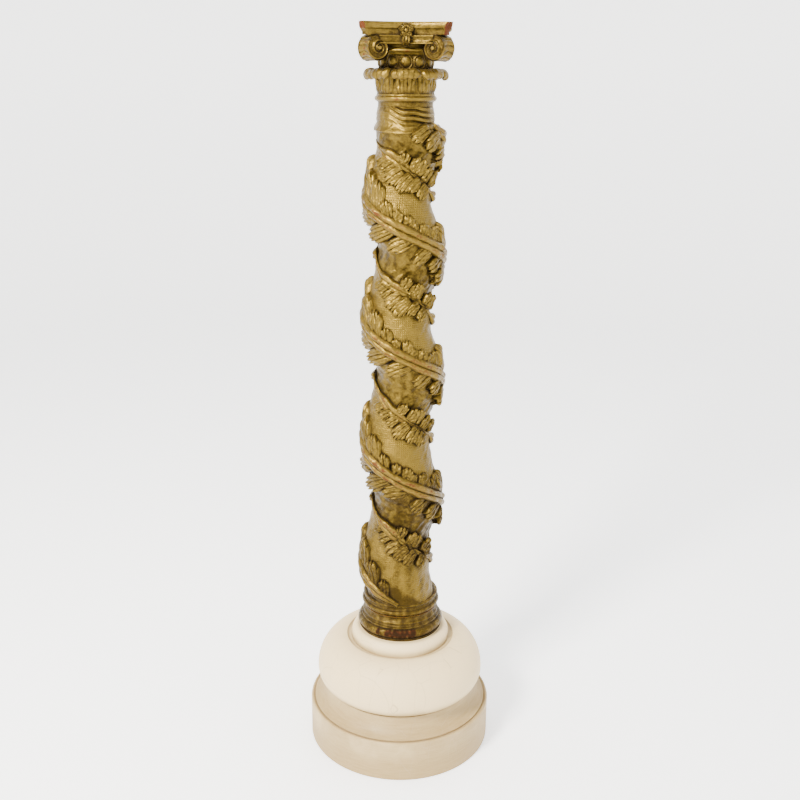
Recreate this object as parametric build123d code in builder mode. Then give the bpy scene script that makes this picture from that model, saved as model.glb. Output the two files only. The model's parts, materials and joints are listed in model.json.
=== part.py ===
"""Tall altar candlestick: a carved, gilded twisted column on a painted turned plinth.

Millimetres, +Z up. The origin is the centre of the underside, on the floor. The column's
front is -Y. The twist is left-handed: a vine climbs the crest of the twist, and every
carved strip follows it in the same turning frame.
"""
from build123d import *
from math import cos, pi, radians, sin, sqrt
import os

os.makedirs("parts", exist_ok=True)

# ---------------------------------------------------------------- driving sizes: plinth
plinth_radius = 200
drum_height = 91
drum_wall = 40
drum_rim_round = 4
quirk_width = 6            # step between the drum's rim and the scotia's foot
scotia_height = 41
scotia_waist_radius = 164
scotia_neck_height = 5     # the nearly straight neck above the hollow
scotia_neck_step = 2       # and how far it draws in
scotia_slope = 0.12        # rise of the hollow where it leaves its foot
torus_under_inset = 9      # the lower torus's curve springs from this far inside the waist
torus_radius = 183
torus_lower_height = 34
torus_upper_height = 76
torus_bore_radius = 70
torus_mouth_radius = 118   # where the upper torus rolls over to the collar
collar_foot_radius = 107
collar_top_radius = 95
collar_height = 26
collar_fillet_height = 5   # upright fillet at the collar's foot
board_thickness = 20
board_recess = 16          # how far the bottom board is set up inside the drum
board_rebate = 12          # ledge of the drum that the board is screwed to

# ---------------------------------------------------------------- driving sizes: gilt base
base_torus_radius = 93.3
base_foot_radius = 89.7
base_torus_height = 28
base_cove_radius = 80
base_cove_height = 27
base_cove_foot_step = 2    # the cove's foot stands in by this much
base_cove_waist_share = 0.6            # height of the narrowest place in the cove
base_cove_head_step = 1
base_astragal_radius = 84.5
base_astragal_height = 14
base_collar_radius = 82
base_collar_height = 27
base_collar_quirk = 1      # draw-in on either side of the astragal
base_collar_chamfer = 2

# ---------------------------------------------------------------- driving sizes: shaft
shaft_height = 980
neck_height = 42
core_foot_radius = 71.5
core_head_radius = 60
crest_offset = 9           # how far each round section stands off the column's axis
turns = 4.0                # turns of the twist from the neck's top to the shaft's foot
pitch_growth = 18          # each turn is this much longer than the one above it
fade_length = 70           # below the neck, where the twist dies away
fade_offset = 4
station_gap = shaft_height / 98        # spacing of the core's sections
strip_station_gap = shaft_height / 196 # spacing of the carved strips' sections
glue_line = 0.5            # between the core or the bell and what is carved on it

# ---------------------------------------------------------------- driving sizes: carving
stem_half_angle = 17       # the vine stem's half width, as an angle round the core
stem_proud = 9
leaf_gap_angle = 1.5       # clear angle between the stem and the leaves
upper_leaf_angle = 66
upper_leaf_proud = 9
lower_leaf_angle = 62
lower_leaf_proud = 10
leaf_scallop_angle = 6
lobes_per_turn = 7
groove_half_angle = 13     # the thin vine that runs in the hollow of the twist
groove_proud = 6
strip_end_length = 80      # length over which a strip swells from its tip
strip_end_share = 0.5      # a strip's width at its tip, as a share of its full width
stem_top_turns = 0.02      # the stem starts this many turns below the neck
stem_foot_turns = 0.03     # and stops this many turns above the foot
leaf_end_turns = 0.05      # clear turns between the stem's ends and the end leaves
leaf_gap_turns = 0.004     # clear turns between one strip and the next
short_leaf_turns = 0.12    # the first upper and last lower strips are this much shorter

# ---------------------------------------------------------------- driving sizes: capital
cuff_radius = 58
cuff_tenon_radius = 46
cuff_foot_step = 3         # the cuff's foot stands in by this much
necking_height = 22
necking_radius = 55
bead_radius = 60.7
bead_foot_height = 8       # above the necking's foot
bead_crest_height = 14
bell_radius = 56.8
bell_height = 44
bell_lip_chamfer = 4
leaf_count = 8
leaf_spread_angle = 38
leaf_reach = 26.2          # a leaf's tip stands this far out from the bell
leaf_thickness = 4
leaf_belly = 1             # swell of a leaf at half its height
leaf_shoulder_out = 9      # where a leaf starts to curl over
leaf_shoulder_drop = 5
leaf_crown_in = 8          # the top of the curl, this far in from the tip
leaf_tip_drop = 6
leaf_throat_out = 8        # the same curl on the leaf's underside
leaf_throat_drop = 12
leaf_lip_in = 4
leaf_lip_drop = 15
leaf_point_rise = 3        # the outline's point, above the bell
leaf_foot_share = 0.8      # width of the outline at its foot
leaf_wide_share = 0.6      # height at which the outline is widest
echinus_height = 59
echinus_spring_height = 16
echinus_lip_height = 33
echinus_lip_face = 4
echinus_block_step = 2     # slope from the lip up to the round block
echinus_slope = 0.3        # rise of the echinus where it leaves its neck
echinus_neck_radius = 51
echinus_radius = 65
echinus_block_radius = 60
volute_radius = 21
volute_length = 40
volute_reach = 88          # from the column's axis to the axis of a volute's roll
volute_neck_width = 26
volute_neck_height = 13
volute_neck_seat = 10      # the neck starts this far inside the round block
volute_gap = 1             # below the abacus
volute_eye_share = 0.3     # eye's radius as a share of the roll's
volute_eye_proud = 2
volute_block_cut = 30      # above this height the volute is hollowed to the round block
volute_lip_cut = 38        # and below this height to the echinus's lip
abacus_height = 23
abacus_half_width = 89
abacus_corner_cut = 9
abacus_hollow = 24         # depth of each side's curve
abacus_step = 8            # the lower member stands in by this much
abacus_lower_share = 0.45  # the lower member's share of the height
fleuron_width = 28
fleuron_height = 42
fleuron_depth = 9
fleuron_seat = 1           # from the abacus's hollow face
fleuron_drop_share = 0.72  # width of the drop below the flower
petal_count = 5
petal_ring_share = 0.29    # the petals' circle, petals and bud as shares of the width
petal_share = 0.21
bud_share = 0.16
bud_proud = 3
flower_drop = 2            # the flower hangs this far below the abacus's top

# ---------------------------------------------------------------- driving sizes: fittings
rod_radius = 6
rod_grip = 90              # length of rod held in the shaft
rod_clearance = 0.5
rod_end_gap = 5            # hole left above the rod's end
rod_end_proud = 1          # rod that shows below its nut
nut_width = 19
nut_height = 10
washer_radius = 20
washer_thickness = 3
dowel_radius = 12
dowel_shaft_depth = 70
dowel_bell_depth = 28
fit_clearance = 0.1
candle_radius = 19.5
candle_depth = 40
cup_wall = 2
cup_floor = 3
cup_flange_radius = 32
cup_flange_thickness = 2.5
cup_screw_count = 3
cup_screw_radius = 1.5
cup_screw_length = 16
board_screw_count = 8
board_screw_radius = 2.2
board_screw_length = 42

# ---------------------------------------------------------------- heights that follow
scotia_z = drum_height
torus_lower_z = scotia_z + scotia_height
torus_upper_z = torus_lower_z + torus_lower_height
collar_z = torus_upper_z + torus_upper_height
base_torus_z = collar_z + collar_height
base_cove_z = base_torus_z + base_torus_height
base_collar_z = base_cove_z + base_cove_height
shaft_z = base_collar_z + base_collar_height
neck_z = shaft_z + shaft_height
necking_z = neck_z + neck_height
bell_z = necking_z + necking_height
echinus_z = bell_z + bell_height
abacus_z = echinus_z + echinus_height
top_z = abacus_z + abacus_height
twist_length = necking_z - shaft_z
first_pitch = twist_length / turns - pitch_growth / 2 * turns
rod_bore_radius = rod_radius + rod_clearance
cup_radius = candle_radius + cup_wall
cup_foot_z = top_z - candle_depth - cup_floor
ledge_z = board_recess + board_thickness
leaf_tip_radius = bell_radius + leaf_reach
volute_z = abacus_z - volute_radius - volute_gap


# ================================================================ small helpers
def save(piece, name):
    """Label a finished piece and write it as one STEP file."""
    piece.part.label = name
    export_step(piece.part, f"parts/{name}.step")


def drill(radius, low, high, places=((0, 0),)):
    """Cut round holes through the pending part between two heights."""
    with Locations(*[(x, y, (low + high) / 2) for x, y in places]):
        Cylinder(radius, high - low, mode=Mode.SUBTRACT)


def ring_places(radius, count, first_angle=0):
    """Points evenly spaced on a circle round the column's axis."""
    angles = [radians(first_angle + 360 * i / count) for i in range(count)]
    return [(radius * cos(a), radius * sin(a)) for a in angles]


def smooth_step(value):
    """0 below 0, 1 above 1, and a soft S between."""
    t = min(1, max(0, value))
    return t * t * (3 - 2 * t)


# ================================================================ the twist
def turn_at(z):
    """Turns of the crest below the neck's top, from z = top - first_pitch m - growth/2 m^2."""
    drop = necking_z - z
    return (sqrt(first_pitch**2 + 2 * pitch_growth * drop) - first_pitch) / pitch_growth


def height_at(turn):
    """Height where the crest has made this many turns."""
    return necking_z - first_pitch * turn - pitch_growth / 2 * turn**2


def crest_angle(z):
    """Direction of the crest in radians; it faces the front at whole turns."""
    return 2 * pi * turn_at(z) - pi / 2


def core_radius(z):
    """The core tapers evenly from foot to head."""
    share = (z - shaft_z) / shaft_height
    return core_foot_radius + (core_head_radius - core_foot_radius) * share


def core_offset(z):
    """Stand-off of the section from the axis, easing to less just under the neck."""
    fade = smooth_step((neck_z - z) / fade_length)
    return fade_offset + (crest_offset - fade_offset) * fade


def on_core(z, angle, proud):
    """A point this far proud of the core, at an angle in degrees from the crest."""
    crest = crest_angle(z)
    radius = core_radius(z) + glue_line + proud
    offset = core_offset(z)
    around = crest + radians(angle)
    return (
        offset * cos(crest) + radius * cos(around),
        offset * sin(crest) + radius * sin(around),
    )


def stations(low, high, gap):
    """Evenly spaced heights from low to high, both included."""
    count = max(3, round((high - low) / gap))
    return [low + (high - low) * i / count for i in range(count + 1)]


def carved_strip(name, top_turn, foot_turn, near_angle, far_angle, proud, scallop=0):
    """A carved strip that winds with the core: crescents on level planes, lofted.

    near_angle and far_angle bound it from the crest. Its far edge is scalloped, and both
    ends narrow towards the near edge.
    """
    low, high = height_at(foot_turn), height_at(top_turn)
    with BuildPart() as strip:
        for z in stations(low, high, strip_station_gap):
            end = min(z - low, high - z) / strip_end_length
            share = strip_end_share + (1 - strip_end_share) * smooth_step(end)
            wave = scallop * cos(2 * pi * lobes_per_turn * turn_at(z))
            middle = (near_angle + far_angle) / 2 if scallop == 0 else near_angle
            first = middle + (near_angle - middle) * share
            last = middle + (far_angle + wave - middle) * share
            mid = (first + last) / 2
            with BuildSketch(Plane.XY.offset(z)):
                with BuildLine():
                    start, finish = on_core(z, first, 0), on_core(z, last, 0)
                    ThreePointArc(start, on_core(z, mid, 0), finish)
                    ThreePointArc(finish, on_core(z, mid, proud * share), start)
                make_face()
        loft()
    save(strip, name)


# ================================================================ plinth
with BuildPart() as plinth_drum:
    with BuildSketch(Plane.XZ):
        with BuildLine():
            Polyline(
                (plinth_radius, 0),
                (plinth_radius, drum_height),
                (plinth_radius - drum_wall, drum_height),
                (plinth_radius - drum_wall, ledge_z),
                (plinth_radius - drum_wall + board_rebate, ledge_z),
                (plinth_radius - drum_wall + board_rebate, 0),
                close=True,
            )
        make_face()
    revolve(axis=Axis.Z)
    top_circles = plinth_drum.edges().filter_by(GeomType.CIRCLE).group_by(Axis.Z)[-1]
    fillet(top_circles.sort_by(SortBy.RADIUS)[-1], drum_rim_round)
    screw_ring = plinth_radius - drum_wall + board_rebate / 2
    screw_places = ring_places(screw_ring, board_screw_count)
    screw_top = board_recess + board_screw_length
    drill(board_screw_radius, ledge_z, screw_top, screw_places)
save(plinth_drum, "plinth_drum")

board_radius = plinth_radius - drum_wall + board_rebate - fit_clearance
with BuildPart() as plinth_bottom_board:
    with Locations((0, 0, board_recess + board_thickness / 2)):
        Cylinder(board_radius, board_thickness)
    drill(rod_bore_radius, board_recess, ledge_z)
    drill(board_screw_radius, board_recess, ledge_z, screw_places)
save(plinth_bottom_board, "plinth_bottom_board")

scotia_foot_radius = plinth_radius - drum_rim_round - quirk_width / 2
with BuildPart() as plinth_scotia_board:
    with BuildSketch(Plane.XZ):
        with BuildLine():
            foot = (scotia_foot_radius, scotia_z)
            waist = (scotia_waist_radius, torus_lower_z - scotia_neck_height)
            head = (scotia_waist_radius - scotia_neck_step, torus_lower_z)
            TangentArc(foot, waist, tangent=(-1, scotia_slope))
            Line(waist, head)
            Line(head, (0, torus_lower_z))
            Line((0, torus_lower_z), (0, scotia_z))
            Line((0, scotia_z), foot)
        make_face()
    revolve(axis=Axis.Z)
    drill(rod_bore_radius, scotia_z, torus_lower_z)
save(plinth_scotia_board, "plinth_scotia_board")

torus_under_radius = scotia_waist_radius - torus_under_inset
with BuildPart() as plinth_torus_lower:
    with BuildSketch(Plane.XZ):
        with BuildLine():
            sweep_radius = torus_radius - torus_under_radius
            centre = (torus_under_radius, torus_upper_z)
            under = EllipticalCenterArc(centre, sweep_radius, torus_lower_height, 270, arc_size=90)
            Line(under @ 1, (torus_bore_radius, torus_upper_z))
            Line((torus_bore_radius, torus_upper_z), (torus_bore_radius, torus_lower_z))
            Line((torus_bore_radius, torus_lower_z), under @ 0)
        make_face()
    revolve(axis=Axis.Z)
save(plinth_torus_lower, "plinth_torus_lower")

with BuildPart() as plinth_torus_upper:
    with BuildSketch(Plane.XZ):
        with BuildLine():
            centre = (torus_mouth_radius, torus_upper_z)
            sweep_radius = torus_radius - torus_mouth_radius
            over = EllipticalCenterArc(centre, sweep_radius, torus_upper_height, 0, arc_size=90)
            Line(over @ 1, (0, collar_z))
            Line((0, collar_z), (0, torus_upper_z))
            Line((0, torus_upper_z), over @ 0)
        make_face()
    revolve(axis=Axis.Z)
    drill(rod_bore_radius, torus_upper_z, collar_z)
save(plinth_torus_upper, "plinth_torus_upper")

with BuildPart() as plinth_collar:
    with BuildSketch(Plane.XZ):
        with BuildLine():
            foot = (collar_foot_radius, collar_z)
            step = (collar_foot_radius, collar_z + collar_fillet_height)
            head = (collar_top_radius, base_torus_z)
            Line(foot, step)
            TangentArc(step, head, tangent=(0, 1))
            Line(head, (0, base_torus_z))
            Line((0, base_torus_z), (0, collar_z))
            Line((0, collar_z), foot)
        make_face()
    revolve(axis=Axis.Z)
    drill(rod_bore_radius, collar_z, base_torus_z)
save(plinth_collar, "plinth_collar")

# ================================================================ gilt base mouldings
with BuildPart() as base_torus:
    with BuildSketch(Plane.XZ):
        with BuildLine():
            foot = (base_foot_radius, base_torus_z)
            belly = (base_torus_radius, base_torus_z + base_torus_height / 2)
            head = (base_foot_radius, base_cove_z)
            ThreePointArc(foot, belly, head)
            Polyline(head, (0, base_cove_z), (0, base_torus_z), foot)
        make_face()
    revolve(axis=Axis.Z)
    drill(rod_bore_radius, base_torus_z, base_cove_z)
save(base_torus, "base_torus")

with BuildPart() as base_cove:
    with BuildSketch(Plane.XZ):
        with BuildLine():
            foot = (base_foot_radius - base_cove_foot_step, base_cove_z)
            waist = (base_cove_radius, base_cove_z + base_cove_height * base_cove_waist_share)
            head = (base_cove_radius + base_cove_head_step, base_collar_z)
            ThreePointArc(foot, waist, head)
            Polyline(head, (0, base_collar_z), (0, base_cove_z), foot)
        make_face()
    revolve(axis=Axis.Z)
    drill(rod_bore_radius, base_cove_z, base_collar_z)
save(base_cove, "base_cove")

with BuildPart() as base_collar:
    with BuildSketch(Plane.XZ):
        with BuildLine():
            quirk_radius = base_collar_radius - base_collar_quirk
            foot = (quirk_radius, base_collar_z)
            bead = (base_astragal_radius, base_collar_z + base_astragal_height / 2)
            neck = (quirk_radius, base_collar_z + base_astragal_height)
            ThreePointArc(foot, bead, neck)
            Polyline(
                neck,
                (base_collar_radius, base_collar_z + base_astragal_height + base_collar_chamfer),
                (base_collar_radius, shaft_z),
                (0, shaft_z),
                (0, base_collar_z),
                foot,
            )
        make_face()
    revolve(axis=Axis.Z)
    drill(rod_bore_radius, base_collar_z, shaft_z)
save(base_collar, "base_collar")

# ================================================================ twisted shaft
with BuildPart() as shaft_core:
    for z in stations(shaft_z, neck_z, station_gap):
        crest = crest_angle(z)
        offset = core_offset(z)
        with BuildSketch(Plane.XY.offset(z)):
            with Locations((offset * cos(crest), offset * sin(crest))):
                Circle(core_radius(z))
    loft()
    with Locations((0, 0, neck_z + neck_height / 2)):
        Cylinder(cuff_tenon_radius, neck_height)
    drill(rod_radius + fit_clearance, shaft_z, shaft_z + rod_grip + rod_end_gap)
    drill(dowel_radius + fit_clearance, necking_z - dowel_shaft_depth, necking_z)
save(shaft_core, "shaft_core")

stem_top_turn = turn_at(neck_z) + stem_top_turns
stem_foot_turn = turn_at(shaft_z) - stem_foot_turns
carved_strip("vine_stem", stem_top_turn, stem_foot_turn, -stem_half_angle, stem_half_angle, stem_proud)

turn_count = round(turns)
leaf_near_angle = stem_half_angle + leaf_gap_angle
for k in range(turn_count):
    top_turn = max(k, stem_top_turn + leaf_end_turns) + leaf_gap_turns
    foot_turn = min(k + 1, stem_foot_turn - leaf_end_turns) - leaf_gap_turns
    carved_strip(
        f"upper_leaves_{k + 1}",
        top_turn + short_leaf_turns * (k == 0),
        foot_turn,
        leaf_near_angle,
        upper_leaf_angle,
        upper_leaf_proud,
        leaf_scallop_angle,
    )
    carved_strip(
        f"lower_leaves_{k + 1}",
        top_turn,
        foot_turn - short_leaf_turns * (k == turn_count - 1),
        -leaf_near_angle,
        -lower_leaf_angle,
        lower_leaf_proud,
        -leaf_scallop_angle,
    )
    carved_strip(
        f"groove_vine_{k + 1}",
        top_turn,
        foot_turn,
        180 - groove_half_angle,
        180 + groove_half_angle,
        groove_proud,
    )

# ================================================================ neck and capital
with BuildPart() as neck_cuff:
    with BuildSketch(Plane.XZ):
        with BuildLine():
            bore = cuff_tenon_radius + fit_clearance
            foot = (cuff_radius - cuff_foot_step, neck_z)
            fold = (cuff_radius, neck_z + neck_height / 2)
            head = (necking_radius, necking_z)
            ThreePointArc(foot, fold, head)
            Polyline(head, (bore, necking_z), (bore, neck_z), foot)
        make_face()
    revolve(axis=Axis.Z)
save(neck_cuff, "neck_cuff")

with BuildPart() as necking_bead:
    with BuildSketch(Plane.XZ):
        with BuildLine():
            quirk = (necking_radius, necking_z + bead_foot_height)
            bead = (bead_radius, necking_z + bead_crest_height)
            seat = (bell_radius, bell_z)
            Line((necking_radius, necking_z), quirk)
            ThreePointArc(quirk, bead, seat)
            Polyline(seat, (0, bell_z), (0, necking_z), (necking_radius, necking_z))
        make_face()
    revolve(axis=Axis.Z)
    drill(dowel_radius + fit_clearance, necking_z, bell_z)
save(necking_bead, "necking_bead")

with BuildPart() as capital_bell:
    with Locations((0, 0, bell_z + bell_height / 2)):
        Cylinder(bell_radius, bell_height)
    lip = capital_bell.edges().filter_by(GeomType.CIRCLE).group_by(Axis.Z)[-1]
    chamfer(lip, bell_lip_chamfer)
    drill(dowel_radius + fit_clearance, bell_z, bell_z + dowel_bell_depth)
save(capital_bell, "capital_bell")

leaf_back = bell_radius + glue_line
leaf_front = leaf_back + leaf_thickness
leaf_half_z = bell_z + bell_height / 2
leaf_wide_z = bell_z + bell_height * leaf_wide_share
leaf_half_width = leaf_back * sin(radians(leaf_spread_angle / 2))
leaf_foot_width = leaf_half_width * leaf_foot_share
outline_reach = 5          # the outline is cut from this far outside the tips
for i in range(leaf_count):
    leaf_angle = -90 + 360 / leaf_count * i
    with BuildPart() as leaf:
        leaf_plane = Plane.XZ.rotated((0, 0, leaf_angle - leaf_spread_angle / 2))
        with BuildSketch(leaf_plane):
            with BuildLine():
                inner_foot = (leaf_back, bell_z)
                outer_foot = (leaf_front, bell_z)
                inner = Spline(
                    inner_foot,
                    (leaf_back + leaf_belly, leaf_half_z),
                    (leaf_back + leaf_shoulder_out, echinus_z - leaf_shoulder_drop),
                    (leaf_tip_radius - leaf_crown_in, echinus_z),
                    (leaf_tip_radius, echinus_z - leaf_tip_drop),
                )
                outer = Spline(
                    outer_foot,
                    (leaf_front + leaf_belly, leaf_half_z),
                    (leaf_front + leaf_throat_out, echinus_z - leaf_throat_drop),
                    (leaf_tip_radius - leaf_lip_in, echinus_z - leaf_lip_drop),
                )
                Line(inner_foot, outer_foot)
                Line(inner @ 1, outer @ 1)
            make_face()
        revolve(axis=Axis.Z, revolution_arc=leaf_spread_angle)
        side = Plane.YZ.rotated((0, 0, leaf_angle))
        with BuildSketch(side.offset(leaf_tip_radius + outline_reach)):
            with BuildLine():
                Spline(
                    (-leaf_foot_width, bell_z),
                    (-leaf_half_width, leaf_wide_z),
                    (0, echinus_z + leaf_point_rise),
                    (leaf_half_width, leaf_wide_z),
                    (leaf_foot_width, bell_z),
                )
                Line((leaf_foot_width, bell_z), (-leaf_foot_width, bell_z))
            make_face()
        extrude(amount=-leaf_tip_radius, mode=Mode.INTERSECT)
    save(leaf, f"capital_leaf_{i + 1}")

with BuildPart() as capital_echinus:
    with BuildSketch(Plane.XZ):
        with BuildLine():
            foot = (echinus_neck_radius, echinus_z)
            spring = (echinus_neck_radius, echinus_z + echinus_spring_height)
            lip_top_z = echinus_z + echinus_lip_height + echinus_lip_face
            lip = (echinus_radius, echinus_z + echinus_lip_height)
            Line(foot, spring)
            TangentArc(spring, lip, tangent=(1, echinus_slope))
            Polyline(
                lip,
                (echinus_radius, lip_top_z),
                (echinus_block_radius, lip_top_z + echinus_block_step),
                (echinus_block_radius, abacus_z),
                (0, abacus_z),
                (0, echinus_z),
                foot,
            )
        make_face()
    revolve(axis=Axis.Z)
    drill(cup_radius + fit_clearance, cup_foot_z - fit_clearance, abacus_z)
save(capital_echinus, "capital_echinus")

neck_start = echinus_block_radius - volute_neck_seat
neck_middle = (neck_start + volute_reach) / 2
volute_neck_z = abacus_z - volute_neck_height / 2 - volute_gap
for i in range(4):
    corner_angle = -135 + 90 * i
    with BuildPart() as volute:
        across = Plane.XZ.rotated((0, 0, corner_angle))
        with BuildSketch(across.offset(-volute_length / 2)):
            with Locations((volute_reach, volute_z)):
                Circle(volute_radius)
        extrude(amount=volute_length)
        with BuildSketch(across.offset(-volute_neck_width / 2)):
            with Locations((neck_middle, volute_neck_z)):
                Rectangle(volute_reach - neck_start, volute_neck_height)
        extrude(amount=volute_neck_width)
        with BuildSketch(across.offset(-volute_length / 2 - volute_eye_proud)):
            with Locations((volute_reach, volute_z)):
                Circle(volute_radius * volute_eye_share)
        extrude(amount=volute_length + 2 * volute_eye_proud)
        drill(echinus_block_radius + glue_line, echinus_z + volute_block_cut, top_z)
        drill(echinus_radius + glue_line, echinus_z, echinus_z + volute_lip_cut)
    save(volute, f"volute_{i + 1}")


def abacus_outline(half_width):
    """A square with hollow sides and cut corners, from arcs and short straight lines."""
    corner = half_width - abacus_corner_cut
    dip = half_width - abacus_hollow
    ThreePointArc((-corner, -half_width), (0, -dip), (corner, -half_width))
    Line((corner, -half_width), (half_width, -corner))
    ThreePointArc((half_width, -corner), (dip, 0), (half_width, corner))
    Line((half_width, corner), (corner, half_width))
    ThreePointArc((corner, half_width), (0, dip), (-corner, half_width))
    Line((-corner, half_width), (-half_width, corner))
    ThreePointArc((-half_width, corner), (-dip, 0), (-half_width, -corner))
    Line((-half_width, -corner), (-corner, -half_width))


lower_member = abacus_height * abacus_lower_share
cup_screw_places = ring_places((cup_radius + cup_flange_radius) / 2, cup_screw_count, 90)
with BuildPart() as abacus:
    with BuildSketch(Plane.XY.offset(abacus_z)):
        with BuildLine():
            abacus_outline(abacus_half_width - abacus_step)
        make_face()
    extrude(amount=lower_member)
    with BuildSketch(Plane.XY.offset(abacus_z + lower_member)):
        with BuildLine():
            abacus_outline(abacus_half_width)
        make_face()
    extrude(amount=abacus_height - lower_member)
    drill(cup_radius + fit_clearance, abacus_z, top_z)
    drill(cup_flange_radius + fit_clearance, top_z - cup_flange_thickness, top_z)
    drill(cup_screw_radius, top_z - cup_screw_length, top_z, cup_screw_places)
save(abacus, "abacus")

fleuron_back = abacus_half_width - abacus_hollow + fleuron_seat
flower_z = top_z - fleuron_width / 2 - flower_drop
trim_height = 20           # a block above the abacus trims the petals flush with its top
for i in range(4):
    with BuildPart() as fleuron:
        face = Plane.XZ.rotated((0, 0, 90 * i)).offset(fleuron_back)
        with BuildSketch(face):
            with Locations((0, top_z - fleuron_height / 2)):
                Ellipse(fleuron_width / 2 * fleuron_drop_share, fleuron_height / 2)
            with Locations((0, flower_z)):
                with PolarLocations(fleuron_width * petal_ring_share, petal_count, start_angle=90):
                    Circle(fleuron_width * petal_share)
        extrude(amount=fleuron_depth)
        with BuildSketch(face):
            with Locations((0, flower_z)):
                Circle(fleuron_width * bud_share)
        extrude(amount=fleuron_depth + bud_proud)
        with Locations((0, 0, top_z + trim_height / 2)):
            Box(4 * abacus_half_width, 4 * abacus_half_width, trim_height, mode=Mode.SUBTRACT)
    save(fleuron, f"fleuron_{i + 1}")

# ================================================================ fittings
with BuildPart() as candle_cup:
    with Locations((0, 0, (cup_foot_z + top_z) / 2)):
        Cylinder(cup_radius, top_z - cup_foot_z)
    with Locations((0, 0, top_z - cup_flange_thickness / 2)):
        Cylinder(cup_flange_radius, cup_flange_thickness)
    drill(candle_radius, top_z - candle_depth, top_z)
    drill(cup_screw_radius, top_z - cup_flange_thickness, top_z, cup_screw_places)
save(candle_cup, "candle_cup")

with BuildPart() as cup_screws:
    with Locations(*[(x, y, top_z - cup_screw_length / 2) for x, y in cup_screw_places]):
        Cylinder(cup_screw_radius, cup_screw_length)
save(cup_screws, "cup_screws")

with BuildPart() as tie_rod:
    rod_foot_z = board_recess - washer_thickness - nut_height - rod_end_proud
    rod_top_z = shaft_z + rod_grip
    with Locations((0, 0, (rod_foot_z + rod_top_z) / 2)):
        Cylinder(rod_radius, rod_top_z - rod_foot_z)
save(tie_rod, "tie_rod")

with BuildPart() as tie_washer:
    with Locations((0, 0, board_recess - washer_thickness / 2)):
        Cylinder(washer_radius, washer_thickness)
    drill(rod_bore_radius, board_recess - washer_thickness, board_recess)
save(tie_washer, "tie_washer")

with BuildPart() as tie_nut:
    nut_top = board_recess - washer_thickness
    with BuildSketch(Plane.XY.offset(nut_top - nut_height)):
        RegularPolygon(nut_width / 2, 6, major_radius=False)
    extrude(amount=nut_height)
    drill(rod_radius + fit_clearance, nut_top - nut_height, nut_top)
save(tie_nut, "tie_nut")

with BuildPart() as capital_dowel:
    dowel_foot = necking_z - dowel_shaft_depth
    dowel_head = bell_z + dowel_bell_depth
    with Locations((0, 0, (dowel_foot + dowel_head) / 2)):
        Cylinder(dowel_radius, dowel_head - dowel_foot)
save(capital_dowel, "capital_dowel")

with BuildPart() as board_screws:
    with Locations(*[(x, y, board_recess + board_screw_length / 2) for x, y in screw_places]):
        Cylinder(board_screw_radius, board_screw_length)
save(board_screws, "board_screws")
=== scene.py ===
"""Altar candlestick: a carved and gilded twisted column on a painted turned plinth.

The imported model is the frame: it gives every piece its place. Visible pieces are surfaces
worked out with numpy from the sizes in the settings below, in metres, and each one stands
in for the plain solid of the same name.
"""
import json
import math

import bmesh
import bpy
import numpy as np
from bpy.props import FloatProperty, FloatVectorProperty, IntProperty, PointerProperty
from mathutils import Matrix, Vector


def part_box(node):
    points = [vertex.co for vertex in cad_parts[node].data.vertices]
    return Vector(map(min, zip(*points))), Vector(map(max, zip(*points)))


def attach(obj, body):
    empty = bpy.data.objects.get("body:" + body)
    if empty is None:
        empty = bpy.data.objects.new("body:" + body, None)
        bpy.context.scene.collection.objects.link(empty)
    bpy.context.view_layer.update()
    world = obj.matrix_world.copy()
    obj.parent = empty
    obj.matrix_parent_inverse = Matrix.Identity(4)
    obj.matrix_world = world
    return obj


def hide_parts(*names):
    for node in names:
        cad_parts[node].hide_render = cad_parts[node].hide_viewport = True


bl_info = {
    "name": "Altar Candlestick",
    "version": (1, 0, 0),
    "blender": (4, 5, 0),
    "location": "3D View > Sidebar > Candlestick",
    "description": "Builds a carved and gilded altar candlestick on a painted plinth",
    "category": "Add Mesh",
}

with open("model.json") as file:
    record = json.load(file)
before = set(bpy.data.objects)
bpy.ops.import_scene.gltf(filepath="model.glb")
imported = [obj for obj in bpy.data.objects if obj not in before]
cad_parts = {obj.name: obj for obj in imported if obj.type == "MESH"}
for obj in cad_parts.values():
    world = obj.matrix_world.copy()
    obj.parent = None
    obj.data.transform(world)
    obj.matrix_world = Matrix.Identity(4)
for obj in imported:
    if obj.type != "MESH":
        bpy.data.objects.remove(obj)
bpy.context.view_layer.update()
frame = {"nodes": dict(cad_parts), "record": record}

MM = 0.001
TAU = 2 * math.pi
FRONT = -math.pi / 2          # direction of the column's front, as an angle about +Z
ROD_BORE = 7 * MM             # radius of the tie rod's hole
DOWEL_BORE = 12.2 * MM        # radius of the capital dowel's hole


def foot_of(node):
    """Lowest level of a node, in metres."""
    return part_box(node)[0].z


def head_of(node):
    """Highest level of a node, in metres."""
    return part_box(node)[1].z


def reach_of(node):
    """Half the width of a node that is centred on the column's axis."""
    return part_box(node)[1].x


# ---------------------------------------------------------------- settings


def length(name, description, default, smallest=0.0):
    """A length property in metres."""
    return FloatProperty(
        name=name, description=description, default=default, min=smallest,
        unit="LENGTH", precision=4,
    )


def share(name, description, default):
    """A property from 0 to 1."""
    return FloatProperty(
        name=name, description=description, default=default, min=0, max=1, subtype="FACTOR"
    )


def number(name, description, default, smallest):
    """A plain number property."""
    return FloatProperty(name=name, description=description, default=default, min=smallest)


def whole_number(name, description, default, smallest):
    """A whole-number property."""
    return IntProperty(name=name, description=description, default=default, min=smallest)


def view_angle(name, description, default):
    """An angle property in radians."""
    return FloatProperty(name=name, description=description, default=default, subtype="ANGLE")


def colour(name, description, default):
    """A linear colour property."""
    return FloatVectorProperty(
        name=name, description=description, default=default, size=3, min=0, max=1, subtype="COLOR"
    )


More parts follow.
